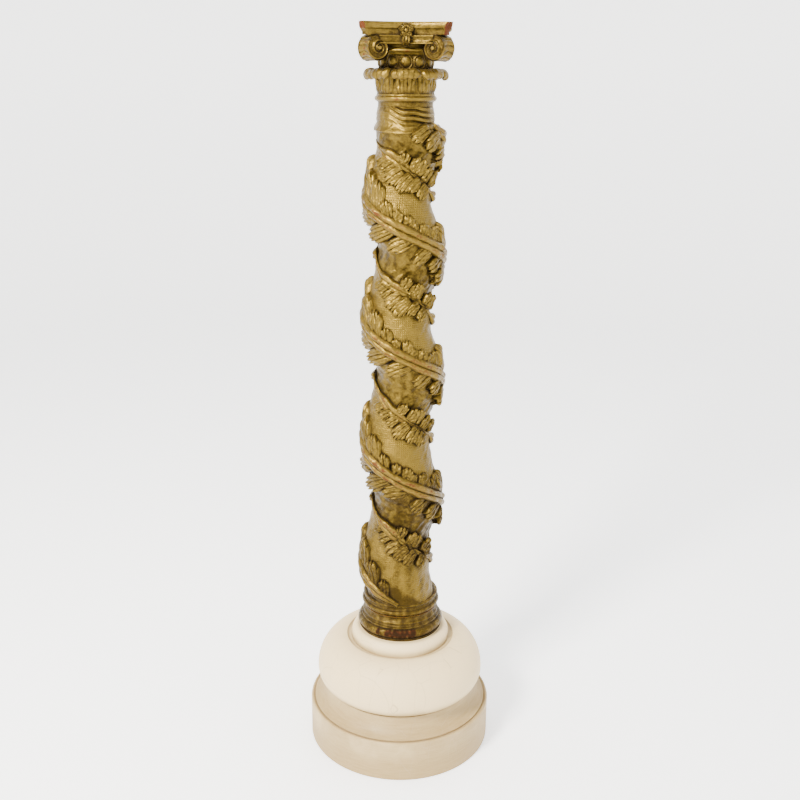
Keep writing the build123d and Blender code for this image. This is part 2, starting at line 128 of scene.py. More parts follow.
class PlinthSettings(bpy.types.PropertyGroup):
    rim_round: length("Rim rounding", "Radius of the drum's upper edge", 4.5 * MM)
    quirk_depth: length("Quirk depth", "Depth of the groove inside the drum's rim", 2.4 * MM)
    waist_radius: length("Waist radius", "Radius of the hollow's narrowest part", 164 * MM)
    mouth_radius: length("Mouth radius", "Radius where the upper torus turns in", 118 * MM)
    collar_foot: length("Collar foot", "Radius of the collar's foot", 107.5 * MM)
    wobble: length("Wobble", "How far the hand-turned rings run out of true", 0.25 * MM)


class TwistSettings(bpy.types.PropertyGroup):
    turns: number("Turns", "Turns of the twist in the shaft", 4.0, 1)
    growth: length("Pitch growth", "How much longer each turn is than the one above", 18 * MM)
    foot_radius: length("Foot radius", "Radius of the core at its foot", 71.5 * MM)
    head_radius: length("Head radius", "Radius of the core at its head", 60 * MM)
    offset: length("Crest offset", "Stand-off of each round section from the axis", 9 * MM)
    head_offset: length("Head offset", "Stand-off left at the head of the shaft", 4 * MM)
    fade: length("Fade length", "Length over which the twist dies away at the head", 70 * MM)


class CarvingSettings(bpy.types.PropertyGroup):
    stem_width: length("Stem width", "Width of the double-ribbed vine stem", 31 * MM)
    stem_proud: length("Stem height", "Height of the vine stem above the core", 14 * MM)
    leaf_scale: number("Leaf scale", "Size of the shaft's leaves", 1.0, 0.1)
    flute: length("Flute depth", "Depth of the grooves between a leaf's fingers", 3.2 * MM)
    lower_count: whole_number("Lower leaves", "Leaves below the stem per turn", 12, 1)
    vine_width: length("Groove vine width", "Width of the thin vine in the hollow", 24 * MM)
    vine_proud: length("Groove vine height", "Height of the thin vine above the core", 9 * MM)
    seed: IntProperty(name="Seed", description="Seed of the small irregularities", default=7)


class CapitalSettings(bpy.types.PropertyGroup):
    leaf_height: length("Leaf height", "Height of a capital leaf before its tip curls over", 47 * MM)
    leaf_width: length("Leaf width", "Width of a capital leaf", 47 * MM)
    volute_radius: length("Volute radius", "Radius of a corner scroll", 22 * MM)
    volute_width: length("Volute width", "Length of a corner scroll's roll", 41 * MM)
    volute_reach: length("Volute reach", "Distance of a corner scroll from the axis", 88 * MM)
    egg_count: whole_number("Eggs", "Eggs round the echinus", 12, 3)
    chip: length("Corner chip", "How far the worn corner of the abacus is broken back", 9 * MM)


class FinishSettings(bpy.types.PropertyGroup):
    gold: colour("Gold", "Burnished gold", (0.130, 0.084, 0.0140))
    old_gold: colour("Old gold", "Duller gold under dirt and wax", (0.032, 0.0192, 0.0032))
    bole: colour("Bole", "Red clay ground that shows where the gold has worn", (0.085, 0.0150, 0.0030))
    # Near-black colour for grime and for painted shade in the gilding's occluded hollows and towards
    # its bottom.
    grime_and_shade: colour("Grime", "Dirt and wax in the hollows", (0.010, 0.005, 0.0012))
    wear: share("Wear", "How much of the gold has rubbed through", 0.42)
    cream: colour("Cream paint", "Paint of the plinth", (0.62, 0.475, 0.255))
    # Yellowed paint, also mixed in as painted shade in the plinth's broad hollows and to make it darker
    # and yellower towards the bottom.
    old_cream_and_shade: colour("Yellowed paint", "Paint where it has yellowed", (0.25, 0.168, 0.062))


class StudioSettings(bpy.types.PropertyGroup):
    distance: length("Camera distance", "Distance of the camera from the axis", 2013.8 * MM)
    eye_level: length("Eye level", "Height of the camera", 1427.9 * MM)
    pitch: view_angle("Pitch", "Tilt below the horizon", 0.30908)
    yaw: view_angle("Yaw", "Turn to the right", -0.0025)
    roll: view_angle("Roll", "Turn about the view's own axis", 0.0098)
    lens: number("Lens", "Focal length in millimetres", 45.80, 1)
    floor: colour("Floor", "Pale floor and backdrop", (0.90, 0.90, 0.90))
    glow: number("Glow", "Light of the backdrop itself", 0.85, 0)


# ---------------------------------------------------------------- shapes in numpy


def soft_step(x):
    """0 below 0, 1 above 1, and 3x^2 - 2x^3 between."""
    x = np.clip(x, 0, 1)
    return x * x * (3 - 2 * x)


def hump(x, width):
    """A bell of height 1 at 0: exp(-(x / width)^2)."""
    return np.exp(-((x / width) ** 2))


def waves(rng, count, low, high):
    """A smooth random function of an angle and a height: a sum of sines with whole-number turns."""
    turns = rng.integers(low, high, count)
    climb = rng.uniform(-60, 60, count)
    start = rng.uniform(0, TAU, count)

    def value(angle, z):
        total = 0
        for k in range(count):
            total = total + np.sin(turns[k] * angle + climb[k] * z + start[k])
        return total / math.sqrt(count)

    return value


class Carving:
    """Collects closed surfaces and makes them one mesh piece."""

    def __init__(self):
        self.points = []
        self.quads = []
        self.triangles = []
        self.fields = {"relief": [], "punch": [], "worn": []}
        self.count = 0

    def _add(self, points, quads, triangles, relief, punch, worn):
        self.points.append(points)
        self.quads.append(quads + self.count)
        self.triangles.append(triangles + self.count)
        for name, value in (("relief", relief), ("punch", punch), ("worn", worn)):
            self.fields[name].append(np.broadcast_to(np.asarray(value, float).ravel(), len(points)))
        self.count += len(points)

    def pillow(self, top, bottom, relief):
        """A closed blade from two grids of points that share their four edges."""
        rows, columns = top.shape[:2]
        upper = np.arange(rows * columns).reshape(rows, columns)
        lower = upper.copy()
        inner = (rows - 2) * (columns - 2)
        lower[1:-1, 1:-1] = rows * columns + np.arange(inner).reshape(rows - 2, columns - 2)
        points = np.concatenate([top.reshape(-1, 3), bottom[1:-1, 1:-1].reshape(-1, 3)])
        quads = np.concatenate([self._cells(upper), self._cells(lower[:, ::-1])])
        value = np.concatenate([relief.ravel(), relief[1:-1, 1:-1].ravel()])
        self._add(points, quads, np.zeros((0, 3), int), value, 0, 0)

    def tube(self, rings, relief=0.5, punch=0, worn=0):
        """Rings of points, closed round, with a fan of triangles over each end."""
        rows, columns = rings.shape[:2]
        grid = np.arange(rows * columns).reshape(rows, columns)
        wrapped = np.concatenate([grid, grid[:, :1]], axis=1)
        ends = np.stack([rings[0].mean(0), rings[-1].mean(0)])
        first, last = rows * columns, rows * columns + 1
        near, far = wrapped[0], wrapped[-1]
        fan = [
            np.stack([np.full(columns, first), near[:-1], near[1:]], -1),
            np.stack([np.full(columns, last), far[1:], far[:-1]], -1),
        ]
        points = np.concatenate([rings.reshape(-1, 3), ends])
        grown = []
        for value in (relief, punch, worn):
            value = np.broadcast_to(value, (rows, columns))
            grown.append(np.concatenate([value.ravel(), [value[0].mean(), value[-1].mean()]]))
        self._add(points, self._cells(wrapped), np.concatenate(fan), *grown)
        return self

    def ring(self, rings, relief=0.5, punch=0, worn=0):
        """Rings of points, closed round and also from the last ring to the first."""
        rows, columns = rings.shape[:2]
        grid = np.arange(rows * columns).reshape(rows, columns)
        grid = np.concatenate([grid, grid[:1]], axis=0)
        grid = np.concatenate([grid, grid[:, :1]], axis=1)
        values = [np.broadcast_to(v, (rows, columns)).ravel() for v in (relief, punch, worn)]
        self._add(rings.reshape(-1, 3), self._cells(grid), np.zeros((0, 3), int), *values)
        return self

    @staticmethod
    def _cells(grid):
        """The four corners of each cell of a grid of vertex numbers."""
        corners = (grid[:-1, :-1], grid[1:, :-1], grid[1:, 1:], grid[:-1, 1:])
        return np.stack(corners, -1).reshape(-1, 4)

    def build(self, slot, node, kind="carved", crease=48):
        """The collected surfaces as one object in a slot's finish that replaces a node."""
        name = f"{node}_{kind}"
        points = np.concatenate(self.points)
        quads = np.concatenate(self.quads)
        triangles = np.concatenate(self.triangles)
        mesh = bpy.data.meshes.new(name)
        mesh.vertices.add(len(points))
        mesh.vertices.foreach_set("co", points.astype(np.float32).ravel())
        corners = np.concatenate([quads.ravel(), triangles.ravel()])
        sizes = np.concatenate([np.full(len(quads), 4), np.full(len(triangles), 3)])
        mesh.loops.add(len(corners))
        mesh.loops.foreach_set("vertex_index", corners.astype(np.int32))
        mesh.polygons.add(len(sizes))
        starts = np.concatenate([[0], np.cumsum(sizes)[:-1]])
        mesh.polygons.foreach_set("loop_start", starts.astype(np.int32))
        mesh.polygons.foreach_set("use_smooth", np.ones(len(sizes), bool))
        mesh.update(calc_edges=True)
        for field, values in self.fields.items():
            layer = mesh.attributes.new(field, "FLOAT", "POINT")
            layer.data.foreach_set("value", np.concatenate(values).astype(np.float32))
        sheet = bmesh.new()
        sheet.from_mesh(mesh)
        bmesh.ops.recalc_face_normals(sheet, faces=sheet.faces)
        sheet.to_mesh(mesh)
        sheet.free()
        mesh.set_sharp_from_angle(angle=math.radians(crease))
        mesh.materials.append(finish_of(slot))
        piece = bpy.data.objects.new(name, mesh)
        bpy.context.scene.collection.objects.link(piece)
        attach(piece, "root")
        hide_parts(node)
        return piece


def line(start, finish, count):
    """Evenly spaced points from start up to, but not including, finish."""
    t = np.arange(count)[:, None] / count
    return np.array(start) * (1 - t) + np.array(finish) * t


def chain(start, *legs):
    """A chain of straight lines: each leg is (how many points, where it ends)."""
    parts = []
    for count, finish in legs:
        parts.append(line(start, finish, count))
        start = finish
    return parts


def oval(centre, radii, first, last, count):
    """Points on an ellipse from one angle in degrees up to, but not including, another."""
    a = np.radians(first + (last - first) * np.arange(count) / count)
    return np.stack([centre[0] + radii[0] * np.cos(a), centre[1] + radii[1] * np.sin(a)], -1)


def bow(start, finish, sag, count):
    """A shallow curve whose middle stands off its chord by sag, to the right of its run."""
    start, finish = np.array(start, float), np.array(finish, float)
    t = np.arange(count)[:, None] / count
    along = finish - start
    side = np.array([along[1], -along[0]]) / np.hypot(*along)
    return start + along * t + side * sag * 4 * t * (1 - t)


def turned(profile, columns, shape=None):
    """Rings of a turned form: each profile point (radius, height) is carried round the axis.

    shape(angle, radius, z) may return an added radius and an added height.
    """
    angle = np.arange(columns) * TAU / columns
    radius, z = profile[:, :1], profile[:, 1:]
    radius, z, angle = np.broadcast_arrays(radius, z, angle[None, :])
    if shape is not None:
        more_radius, more_z = shape(angle, radius, z)
        radius, z = radius + more_radius, z + more_z
    return np.stack([radius * np.cos(angle), radius * np.sin(angle), z], -1)


# ---------------------------------------------------------------- the twisted column


class Twist:
    """The column's turning frame: a left-handed crest that climbs a tapering round core.

    The crest has made m turns at the height top - pitch m - growth m^2 / 2, and each level
    section of the core is a circle that stands off the axis towards the crest.
    """

    def __init__(self, sizes):
        self.sizes = sizes
        self.foot, self.neck = foot_of("shaft_core"), foot_of("neck_cuff")
        self.top = foot_of("necking_bead")
        self.growth = sizes.growth
        self.pitch = (self.top - self.foot) / sizes.turns - sizes.growth / 2 * sizes.turns

    def turn(self, z):
        """Turns made by the crest at a height."""
        return (np.sqrt(self.pitch**2 + 2 * self.growth * (self.top - z)) - self.pitch) / self.growth

    def height(self, turn):
        """Height of the crest after so many turns."""
        return self.top - self.pitch * turn - self.growth / 2 * turn**2

    def drop(self, turn):
        """Fall of the crest for each radian that it turns."""
        return (self.pitch + self.growth * turn) / TAU

    def radius(self, z):
        """Radius of the core, which tapers evenly."""
        rise = (z - self.foot) / (self.neck - self.foot)
        return self.sizes.foot_radius + (self.sizes.head_radius - self.sizes.foot_radius) * rise

    def centre(self, z):
        """Centre of the core's section at a height."""
        fade = soft_step((self.neck - z) / self.sizes.fade)
        offset = self.sizes.head_offset + (self.sizes.offset - self.sizes.head_offset) * fade
        crest = TAU * self.turn(z) + FRONT
        return offset * np.cos(crest), offset * np.sin(crest)

    def point(self, angle, z, proud):
        """A point at an angle about its section's centre, so far proud of the core."""
        x, y = self.centre(z)
        radius = self.radius(z) + proud
        x, y, z = np.broadcast_arrays(x + radius * np.cos(angle), y + radius * np.sin(angle), z)
        return np.stack([x, y, z], -1)

    def patch(self, angle, z):
        """A map from a flat patch, (round, up, proud), to the core about one point of it."""
        radius = self.radius(z) + 6 * MM

        def place(around, up, proud):
            return self.point(angle + around / radius, z + up, proud)

        return place

    def strand(self, turn, across, proud, behind=0.0):
        """A point beside the crest line: across is measured square to the line, upwards.

        behind turns the line about the axis by a share of a turn, into the hollow.
        """
        angle = TAU * (turn + behind) + FRONT
        radius = self.radius(self.height(turn))
        slope = np.arctan2(self.drop(turn), radius)
        shift = across * np.sin(slope)
        return self.point(angle + shift / radius, self.height(turn) + across * np.cos(slope), proud)


def rolled(span, start, bends):
    """The side view of a blade: distance along, rise, and slope at each share of its length.

    The blade sets off at the slope start, and each bend is (share of length, change of slope).
    """
    shares = np.cumsum([0] + [share for share, _ in bends])
    slopes = start + np.cumsum([0] + [change for _, change in bends])
    t = np.linspace(0, 1, 161)
    slope = np.interp(t, shares / shares[-1], slopes)
    step = span / 160
    along = np.concatenate([[0], np.cumsum(np.cos((slope[1:] + slope[:-1]) / 2))]) * step
    rise = np.concatenate([[0], np.cumsum(np.sin((slope[1:] + slope[:-1]) / 2))]) * step
    return t, along, rise, slope


def leaf(place, size, lean, bend, fingers, **form):
    """A fluted leaf carved from the solid, as top and bottom grids and a relief value.

    u runs from the root to the tips and v from edge to edge. Each finger is a rounded rib
    between sharp valleys, or a scoop between sharp ridges, and the blade's reach falls back
    between fingers and towards the sides, so its end is a row of finger tips. The middle
    line leans and bends in the flat patch and rises as rolled() says. Up to the share free
    its sides and end run down into the ground; beyond it the tip stands clear with the
    wall's thickness. place maps (round, up, proud) to space, and form holds the other
    sizes, each with its default below.
    """
    span, width = size
    lift = form.get("lift", 4 * MM)
    cup = form.get("cup", 0.0)
    flute = form.get("flute", 3 * MM)
    scoop = form.get("scoop", 0.0)
    wall = form.get("wall", 4 * MM)
    free = form.get("free", 0.66)
    root = form.get("root", 0.35)
    notch = form.get("notch", 0.16)
    drop = form.get("drop", 0.34)
    rows, per_finger = form.get("rows", 26), 8
    columns = fingers * per_finger + 1
    u = np.linspace(0, 1, rows)[:, None]
    v = np.linspace(-1, 1, columns)[None, :]
    uneven = form.get("uneven", 0.0)
    across = v + 0.10 * np.sin(np.pi * v) * np.cos(uneven)
    across = across + 0.05 * np.sin(2 * np.pi * v) * np.sin(uneven * 3)
    phase = np.mod(fingers * (across + 1) / 2 * (1 - 1e-9), 1)
    rib = np.abs(np.sin(np.pi * phase))
    t = u * (1 - drop * np.abs(v) ** 2.2) * (1 - notch * np.abs(2 * phase - 1) ** 1.8)
    half = width / 2 * (root + (1 - root) * np.sin(np.minimum(t / 0.6, 1) * np.pi / 2))
    half = half * (1 - form.get("close", 0.2) * np.clip((t - 0.6) / 0.4, 0, 1) ** 2)
    bends = form.get("bends", ((0.6, -0.1), (0.4, 2.2)))
    stations, run, rise, slope = rolled(span, form.get("start", 0.16), bends)
    along, roll = np.interp(t, stations, run), np.interp(t, stations, slope)
    raised = lift * soft_step(t / 0.12) + np.interp(t, stations, rise)
    groove = 0.3 * hump(phase - 0.5, 0.12)
    ridge = np.round(fingers * (across + 1) / 2)
    tall = 0.85 + 0.3 * np.sin(ridge * 2.4 + uneven)
    shape = (1 - scoop) * (rib**0.75 - groove) + scoop * tall * (1.05 - rib**1.1)
    lumps = 1.4 * MM * np.sin(9 * t + 3 * v + uneven) * np.sin(5 * v - 4 * t + 2 * uneven)
    lumps = lumps * soft_step(t / 0.2)
    lumps = lumps + 0.6 * MM * np.sin(23 * t + 9 * v + 3 * uneven) * soft_step(t / 0.3)
    fluting = flute * shape * soft_step(u / 0.14) * (1 - 0.5 * u**4)
    skin = cup * v**2 * soft_step(t / 0.3) + fluting + lumps
    clear = soft_step((t - free) / 0.14)
    rim = np.maximum(np.abs(v) ** 9, u**26)
    skin = skin - (1 - clear) * rim * (raised + skin + 5.5 * MM)
    wall = clear * wall + (1 - clear) * (raised + skin + 6.5 * MM)
    edge = (1 - np.abs(v) ** 12) * (1 - u**14) * soft_step(u / 0.05)
    side = v * half

    def lay(offset):
        forward = along - np.sin(roll) * offset
        proud = raised + np.cos(roll) * offset
        turn = lean + bend * t / 2
        heading = lean + bend * t
        around = forward * np.cos(turn) - side * np.sin(heading)
        rising = forward * np.sin(turn) + side * np.cos(heading)
        return place(around, rising, proud)

    relief = 0.1 + 0.6 * shape + 0.35 * u**2 * shape - 0.25 * np.abs(v) ** 6
    return lay(skin), lay(skin - wall * edge), np.clip(relief, 0, 1) * soft_step(u / 0.15)


# ---------------------------------------------------------------- shader maths


class Field:
    """A number that varies over a surface; expressions on it add Math nodes."""

    def __init__(self, shader, socket):
        self.shader = shader
        self.socket = socket

    def _math(self, operation, first, second):
        node = self.shader.node("Math", {"operation": operation}, {0: first, 1: second})
        return Field(self.shader, node.outputs[0])

    def __add__(self, other):
        return self._math("ADD", self, other)

    __radd__ = __add__

    def __sub__(self, other):
        return self._math("SUBTRACT", self, other)

    def __rsub__(self, other):
        return self._math("SUBTRACT", other, self)

    def __mul__(self, other):
        return self._math("MULTIPLY", self, other)

    __rmul__ = __mul__

    def sine(self):
        """The sine of the value in radians."""
        node = self.shader.node("Math", {"operation": "SINE"}, {0: self})
        return Field(self.shader, node.outputs[0])

    def step(self, low, high):
        """0 at or below low, 1 at or above high, and smooth between."""
        settings = {"interpolation_type": "SMOOTHSTEP"}
        values = {"Value": self, "From Min": low, "From Max": high}
        node = self.shader.node("MapRange", settings, values)
        return Field(self.shader, node.outputs["Result"])


class Shader:
    """A procedural material under construction."""

    def __init__(self, name):
        self.material = bpy.data.materials.new(name)
        self.material.use_nodes = True
        self.tree = self.material.node_tree
        self.tree.nodes.clear()
        self.place = self.node("TexCoord").outputs["Object"]

    def node(self, kind, settings=None, values=None):
        """A node with its settings made first, then its sockets set or linked."""
        node = self.tree.nodes.new("ShaderNode" + kind)
        for key, value in (settings or {}).items():
            setattr(node, key, value)
        for key, value in (values or {}).items():
            self.feed(node.inputs[key], value)
        return node

    def feed(self, socket, value):
        """Link a field or a socket, or set a plain value."""
        if isinstance(value, Field):
            self.tree.links.new(value.socket, socket)
        elif isinstance(value, bpy.types.NodeSocket):
            self.tree.links.new(value, socket)
        elif socket.type == "RGBA":
            socket.default_value = (*value, 1)
        else:
            socket.default_value = value

    def stretched(self, x, y, z):
        """Object coordinates scaled apart on each axis."""
        values = {"Vector": self.place, "Scale": (x, y, z)}
        node = self.node("Mapping", {"vector_type": "POINT"}, values)
        return node.outputs["Vector"]

    def noise(self, scale, detail=3.0, rough=0.55, where=None, warp=0.0):
        """Fractal noise about 0.5; scale is in features per metre."""
        values = {"Vector": where or self.place, "Scale": scale, "Detail": detail, "Roughness": rough}
        values["Distortion"] = warp
        return Field(self, self.node("TexNoise", None, values).outputs["Fac"])

    def cells(self, scale, feature="F1", where=None):
        """Distance in a scatter of cells; scale is in cells per metre."""
        values = {"Vector": where or self.place, "Scale": scale, "Randomness": 1.0}
        return Field(self, self.node("TexVoronoi", {"feature": feature}, values).outputs["Distance"])

    def attribute(self, name):
        """A value stored on the mesh's points."""
        return Field(self, self.node("Attribute", {"attribute_name": name}).outputs["Fac"])

    def shelter(self, distance):
        """0 in the open and towards 1 in a tight hollow, within a distance in metres."""
        node = self.node("AmbientOcclusion", {"samples": 8}, {"Distance": distance})
        return 1 - Field(self, node.outputs["AO"])

    def blend(self, factor, first, second):
        """A mix of two colours."""
        settings = {"data_type": "RGBA", "blend_type": "MIX"}
        node = self.node("Mix", settings, {0: factor, 6: first, 7: second})
        return node.outputs[2]

    def bump(self, height, distance, strength=1.0, before=None):
        """A normal bent by a height field, over an earlier bump if there is one."""
        values = {"Height": height, "Distance": distance, "Strength": strength}
        if before is not None:
            values["Normal"] = before
        return self.node("Bump", None, values).outputs["Normal"]

    def finish(self, constants, **varying):
        """The surface shader: plain values on its own sockets, and links for what varies."""
        surface = self.node("BsdfPrincipled")
        for name, value in constants.items():
            self.feed(surface.inputs[name], value)
        for name, value in varying.items():
            self.feed(surface.inputs[name.replace("_", " ")], value)
        out = self.node("OutputMaterial")
        self.tree.links.new(surface.outputs["BSDF"], out.inputs["Surface"])
        return self.material


def gilding(name, tone=1.0, wear=1.0, dirt=1.0):
    """Water gilding: gold leaf over red bole, rubbed on the high places, with grime and painted shade
    in the hollows and painted shade towards the bottom; dirt scales the grime and painted shade.
    """
    finish = bpy.context.scene.finish_settings
    s = Shader(name)
    relief, punch, worn = s.attribute("relief"), s.attribute("punch"), s.attribute("worn")
    broad = s.noise(7, 2)
    patches = s.noise(38, 4, 0.6, warp=0.6)
    grain = s.noise(260, 4, 0.65)
    speck = s.noise(900, 2, 0.6)
    gold = [c * tone for c in finish.gold]
    old = [c * tone for c in finish.old_gold]
    split = s.node("SeparateXYZ", None, {0: s.place})
    height = Field(s, split.outputs["Z"])
    # Painted shade: low darkens the gold and adds to its grime towards the bottom, where less light
    # falls.
    low = 1 - height.step(0.35, 1.1)
    fleck = s.noise(150, 3, 0.7, warp=0.5)
    bright = broad * 0.3 + patches * 0.3 + grain * 0.2 + fleck * 0.35
    bright = bright + relief * 0.3 + punch * 0.12 - low * 0.12
    leafing = s.blend(bright.step(0.52, 0.78), old, gold)
    # hollow and tight are ambient occlusion; besides keeping wear out of the hollows, they paint shade
    # into them in the grime mix below.
    hollow = s.shelter(18 * MM)
    tight = s.shelter(6 * MM)
    rub = relief * 0.4 + patches * 0.45 + grain * 0.35 + fleck * 0.45 + broad * 0.2 - hollow * 0.3
    threshold = 1.30 - 0.42 * finish.wear * wear
    rub = rub + worn * (patches * 0.9 + grain * 0.5 + fleck * 0.3)
    rubbed = rub.step(threshold - 0.07, threshold + 0.08)
    bole = s.blend(speck.step(0.35, 0.7), [c * 0.4 for c in finish.bole], finish.bole)
    coloured = s.blend(rubbed * 0.9, leafing, bole)
    # Grime and painted shade: near-black in the occluded hollows and towards the bottom, with random
    # patches of real dirt and the darkened worn patch; dirt scales it.
    dirt_and_shade = low * 0.26 + hollow * 0.8 + tight * 0.5 + (patches - 0.5) * 0.6
    dirt_and_shade = (dirt_and_shade + (broad - 0.5) * 0.3 - relief * 0.1) * dirt
    dirt_and_shade = dirt_and_shade + worn * low * 0.55
    dirt_and_shade_mask = dirt_and_shade.step(0.12, 0.85)
    coloured = s.blend(dirt_and_shade_mask * 0.92, coloured, finish.grime_and_shade)
    about = s.node("Math", {"operation": "ARCTAN2"}, {0: split.outputs["Y"], 1: split.outputs["X"]})
    jitter = s.noise(110, 1) * 3.0
    across = Field(s, about.outputs[0]) * 104 + jitter
    upward = height * 1500 + jitter
    dots = (across.sine() * 0.5 + 0.5) * (upward.sine() * 0.5 + 0.5)
    brush = s.noise(60, 3, 0.6, where=s.stretched(1, 1, 6))
    crackle = s.cells(45, "DISTANCE_TO_EDGE").step(0.0, 0.012)
    gouges = s.noise(95, 3, 0.55, warp=0.4)
    normal = s.bump(gouges, 3.0 * MM, 0.6)
    normal = s.bump(dots * punch * -1, 1.0 * MM, 0.65, normal)
    normal = s.bump(fleck * 0.8 + grain * 0.6 + speck * 0.2 + brush * 0.3, 1.1 * MM, 0.7, normal)
    normal = s.bump(crackle - rubbed * 0.6, 0.4 * MM, 0.5, normal)
    rough = 0.20 + grain * 0.25 + rubbed * 0.25 + dirt_and_shade_mask * 0.35 + punch * 0.06
    metal = (1 - rubbed * 0.95) * (1 - dirt_and_shade_mask * 0.8) * 0.85
    return s.finish(
        {"IOR": 1.18}, Base_Color=coloured, Metallic=metal, Roughness=rough, Normal=normal
    )


def cream_paint(name):
    """Brushed oil paint on turned wood: yellowed patches, hairline cracks, painted shade in the
    hollows, painted shade with grime in the quirks, and darker and yellower towards the bottom.
    """
    finish = bpy.context.scene.finish_settings
    s = Shader(name)
    broad = s.noise(5, 3, 0.6)
    patches = s.noise(22, 4, 0.6, warp=0.8)
    speck = s.noise(420, 3, 0.6)
    brushed = s.noise(26, 5, 0.7, where=s.stretched(1, 1, 14))
    hollow = s.shelter(70 * MM)
    height = Field(s, s.node("SeparateXYZ", None, {0: s.place}).outputs["Z"])
    low = 1 - height.step(0.11, 0.17)
    # Yellowed paint in random patches, plus painted shade in the broad occluded hollows under the
    # torus, and darker and yellower towards the bottom.
    yellowing_and_shade = (broad * 0.5 + patches * 0.35 + hollow * 1.1 + low * 0.52).step(0.42, 1.15)
    tint = s.blend(yellowing_and_shade, finish.cream, finish.old_cream_and_shade)
    tint = s.blend((brushed - 0.5) * 0.5 + 0.1, tint, [c * 0.9 for c in finish.cream])
    upright = s.stretched(1, 1, 0.16)
    cracks = 1 - s.cells(26, "DISTANCE_TO_EDGE", where=upright).step(0.0, 0.010)
    cracks = cracks * s.noise(9, 2).step(0.42, 0.56)
    tint = s.blend(cracks * 0.55, tint, (0.33, 0.24, 0.14))
    # Painted shade with some grime: the occluded quirks and tight recesses are darkened.
    tight = s.shelter(6 * MM)
    quirk = (tight * 1.1 + (patches - 0.5) * 0.5).step(0.25, 0.9)
    tint = s.blend(quirk * 0.75, tint, (0.22, 0.15, 0.08))
    spots = (1 - s.cells(60).step(0.03, 0.09)) * s.noise(30, 1).step(0.6, 0.72)
    tint = s.blend(spots * 0.45, tint, (0.42, 0.31, 0.19))
    normal = s.bump(brushed * 0.8 + speck * 0.15, 0.5 * MM, 0.5)
    normal = s.bump(1 - cracks, 0.4 * MM, 0.6, normal)
    rough = 0.46 + patches * 0.14 + quirk * 0.2 + cracks * 0.2
    return s.finish({"IOR": 1.36}, Base_Color=tint, Roughness=rough, Normal=normal)


def bare_wood(name, base):
    """Planed softwood with its grain along one axis."""
    s = Shader(name)
    rings = s.noise(30, 4, 0.6, where=s.stretched(8, 1, 8), warp=1.2)
    pores = s.noise(300, 3, 0.6, where=s.stretched(6, 0.4, 6))
    tint = s.blend(rings.step(0.3, 0.75), base, [c * 0.55 for c in base])
    tint = s.blend(pores.step(0.5, 0.8) * 0.4, tint, [c * 0.4 for c in base])
    normal = s.bump(rings * 0.6 + pores * 0.4, 0.4 * MM, 0.6)
    return s.finish({"IOR": 1.5}, Base_Color=tint, Roughness=0.62 + pores * 0.2, Normal=normal)


def old_metal(name, base, rust, amount):
    """Plain metal with rust or tarnish in patches and fine scratches."""
    s = Shader(name)
    patches = s.noise(70, 5, 0.65, warp=0.8)
    fine = s.noise(700, 3, 0.6)
    scratch = s.noise(120, 4, 0.6, where=s.stretched(1, 12, 1))
    mask = patches * 0.7 + fine * 0.3 + s.shelter(8 * MM) * 0.4
    mask = mask.step(0.62 - amount * 0.25, 0.8 - amount * 0.2)
    tint = s.blend(mask, base, rust)
    normal = s.bump(fine * 0.4 + scratch * 0.4 + mask * 0.5, 0.3 * MM, 0.6)
    rough = 0.3 + scratch * 0.15 + mask * 0.35
    metal = 1 - mask * 0.7
    return s.finish({"IOR": 1.5}, Base_Color=tint, Metallic=metal, Roughness=rough, Normal=normal)


MAKERS = {
    "cream_paint": lambda: cream_paint("Cream paint"),
    # The numbers of each gilding scale its gold tone, its wear, and its grime with painted shade.
    "gilt_base": lambda: gilding("Gilding on the base", 1.20, 1.2, 1.15),
    "gilt_ground": lambda: gilding("Gilding on the ground", 0.95, 0.75, 0.9),
    "gilt_foliage": lambda: gilding("Gilding on the foliage", 1.05, 1.0, 1.0),
    "gilt_capital": lambda: gilding("Gilding on the capital", 1.0, 0.95, 1.25),
    "bare_pine": lambda: bare_wood("Bare pine", (0.50, 0.33, 0.17)),
    "steel_fittings": lambda: old_metal("Rusted steel", (0.42, 0.41, 0.40), (0.16, 0.065, 0.03), 0.6),
    "brass_fittings": lambda: old_metal("Dull brass", (0.50, 0.37, 0.15), (0.12, 0.09, 0.045), 0.5),
}


def finish_of(slot):
    """The material of a slot, made once."""
    key = "slot " + slot
    store = bpy.context.scene
    if key not in store:
        store[key] = MAKERS[slot]().name
    return bpy.data.materials[store[key]]


# ---------------------------------------------------------------- plinth


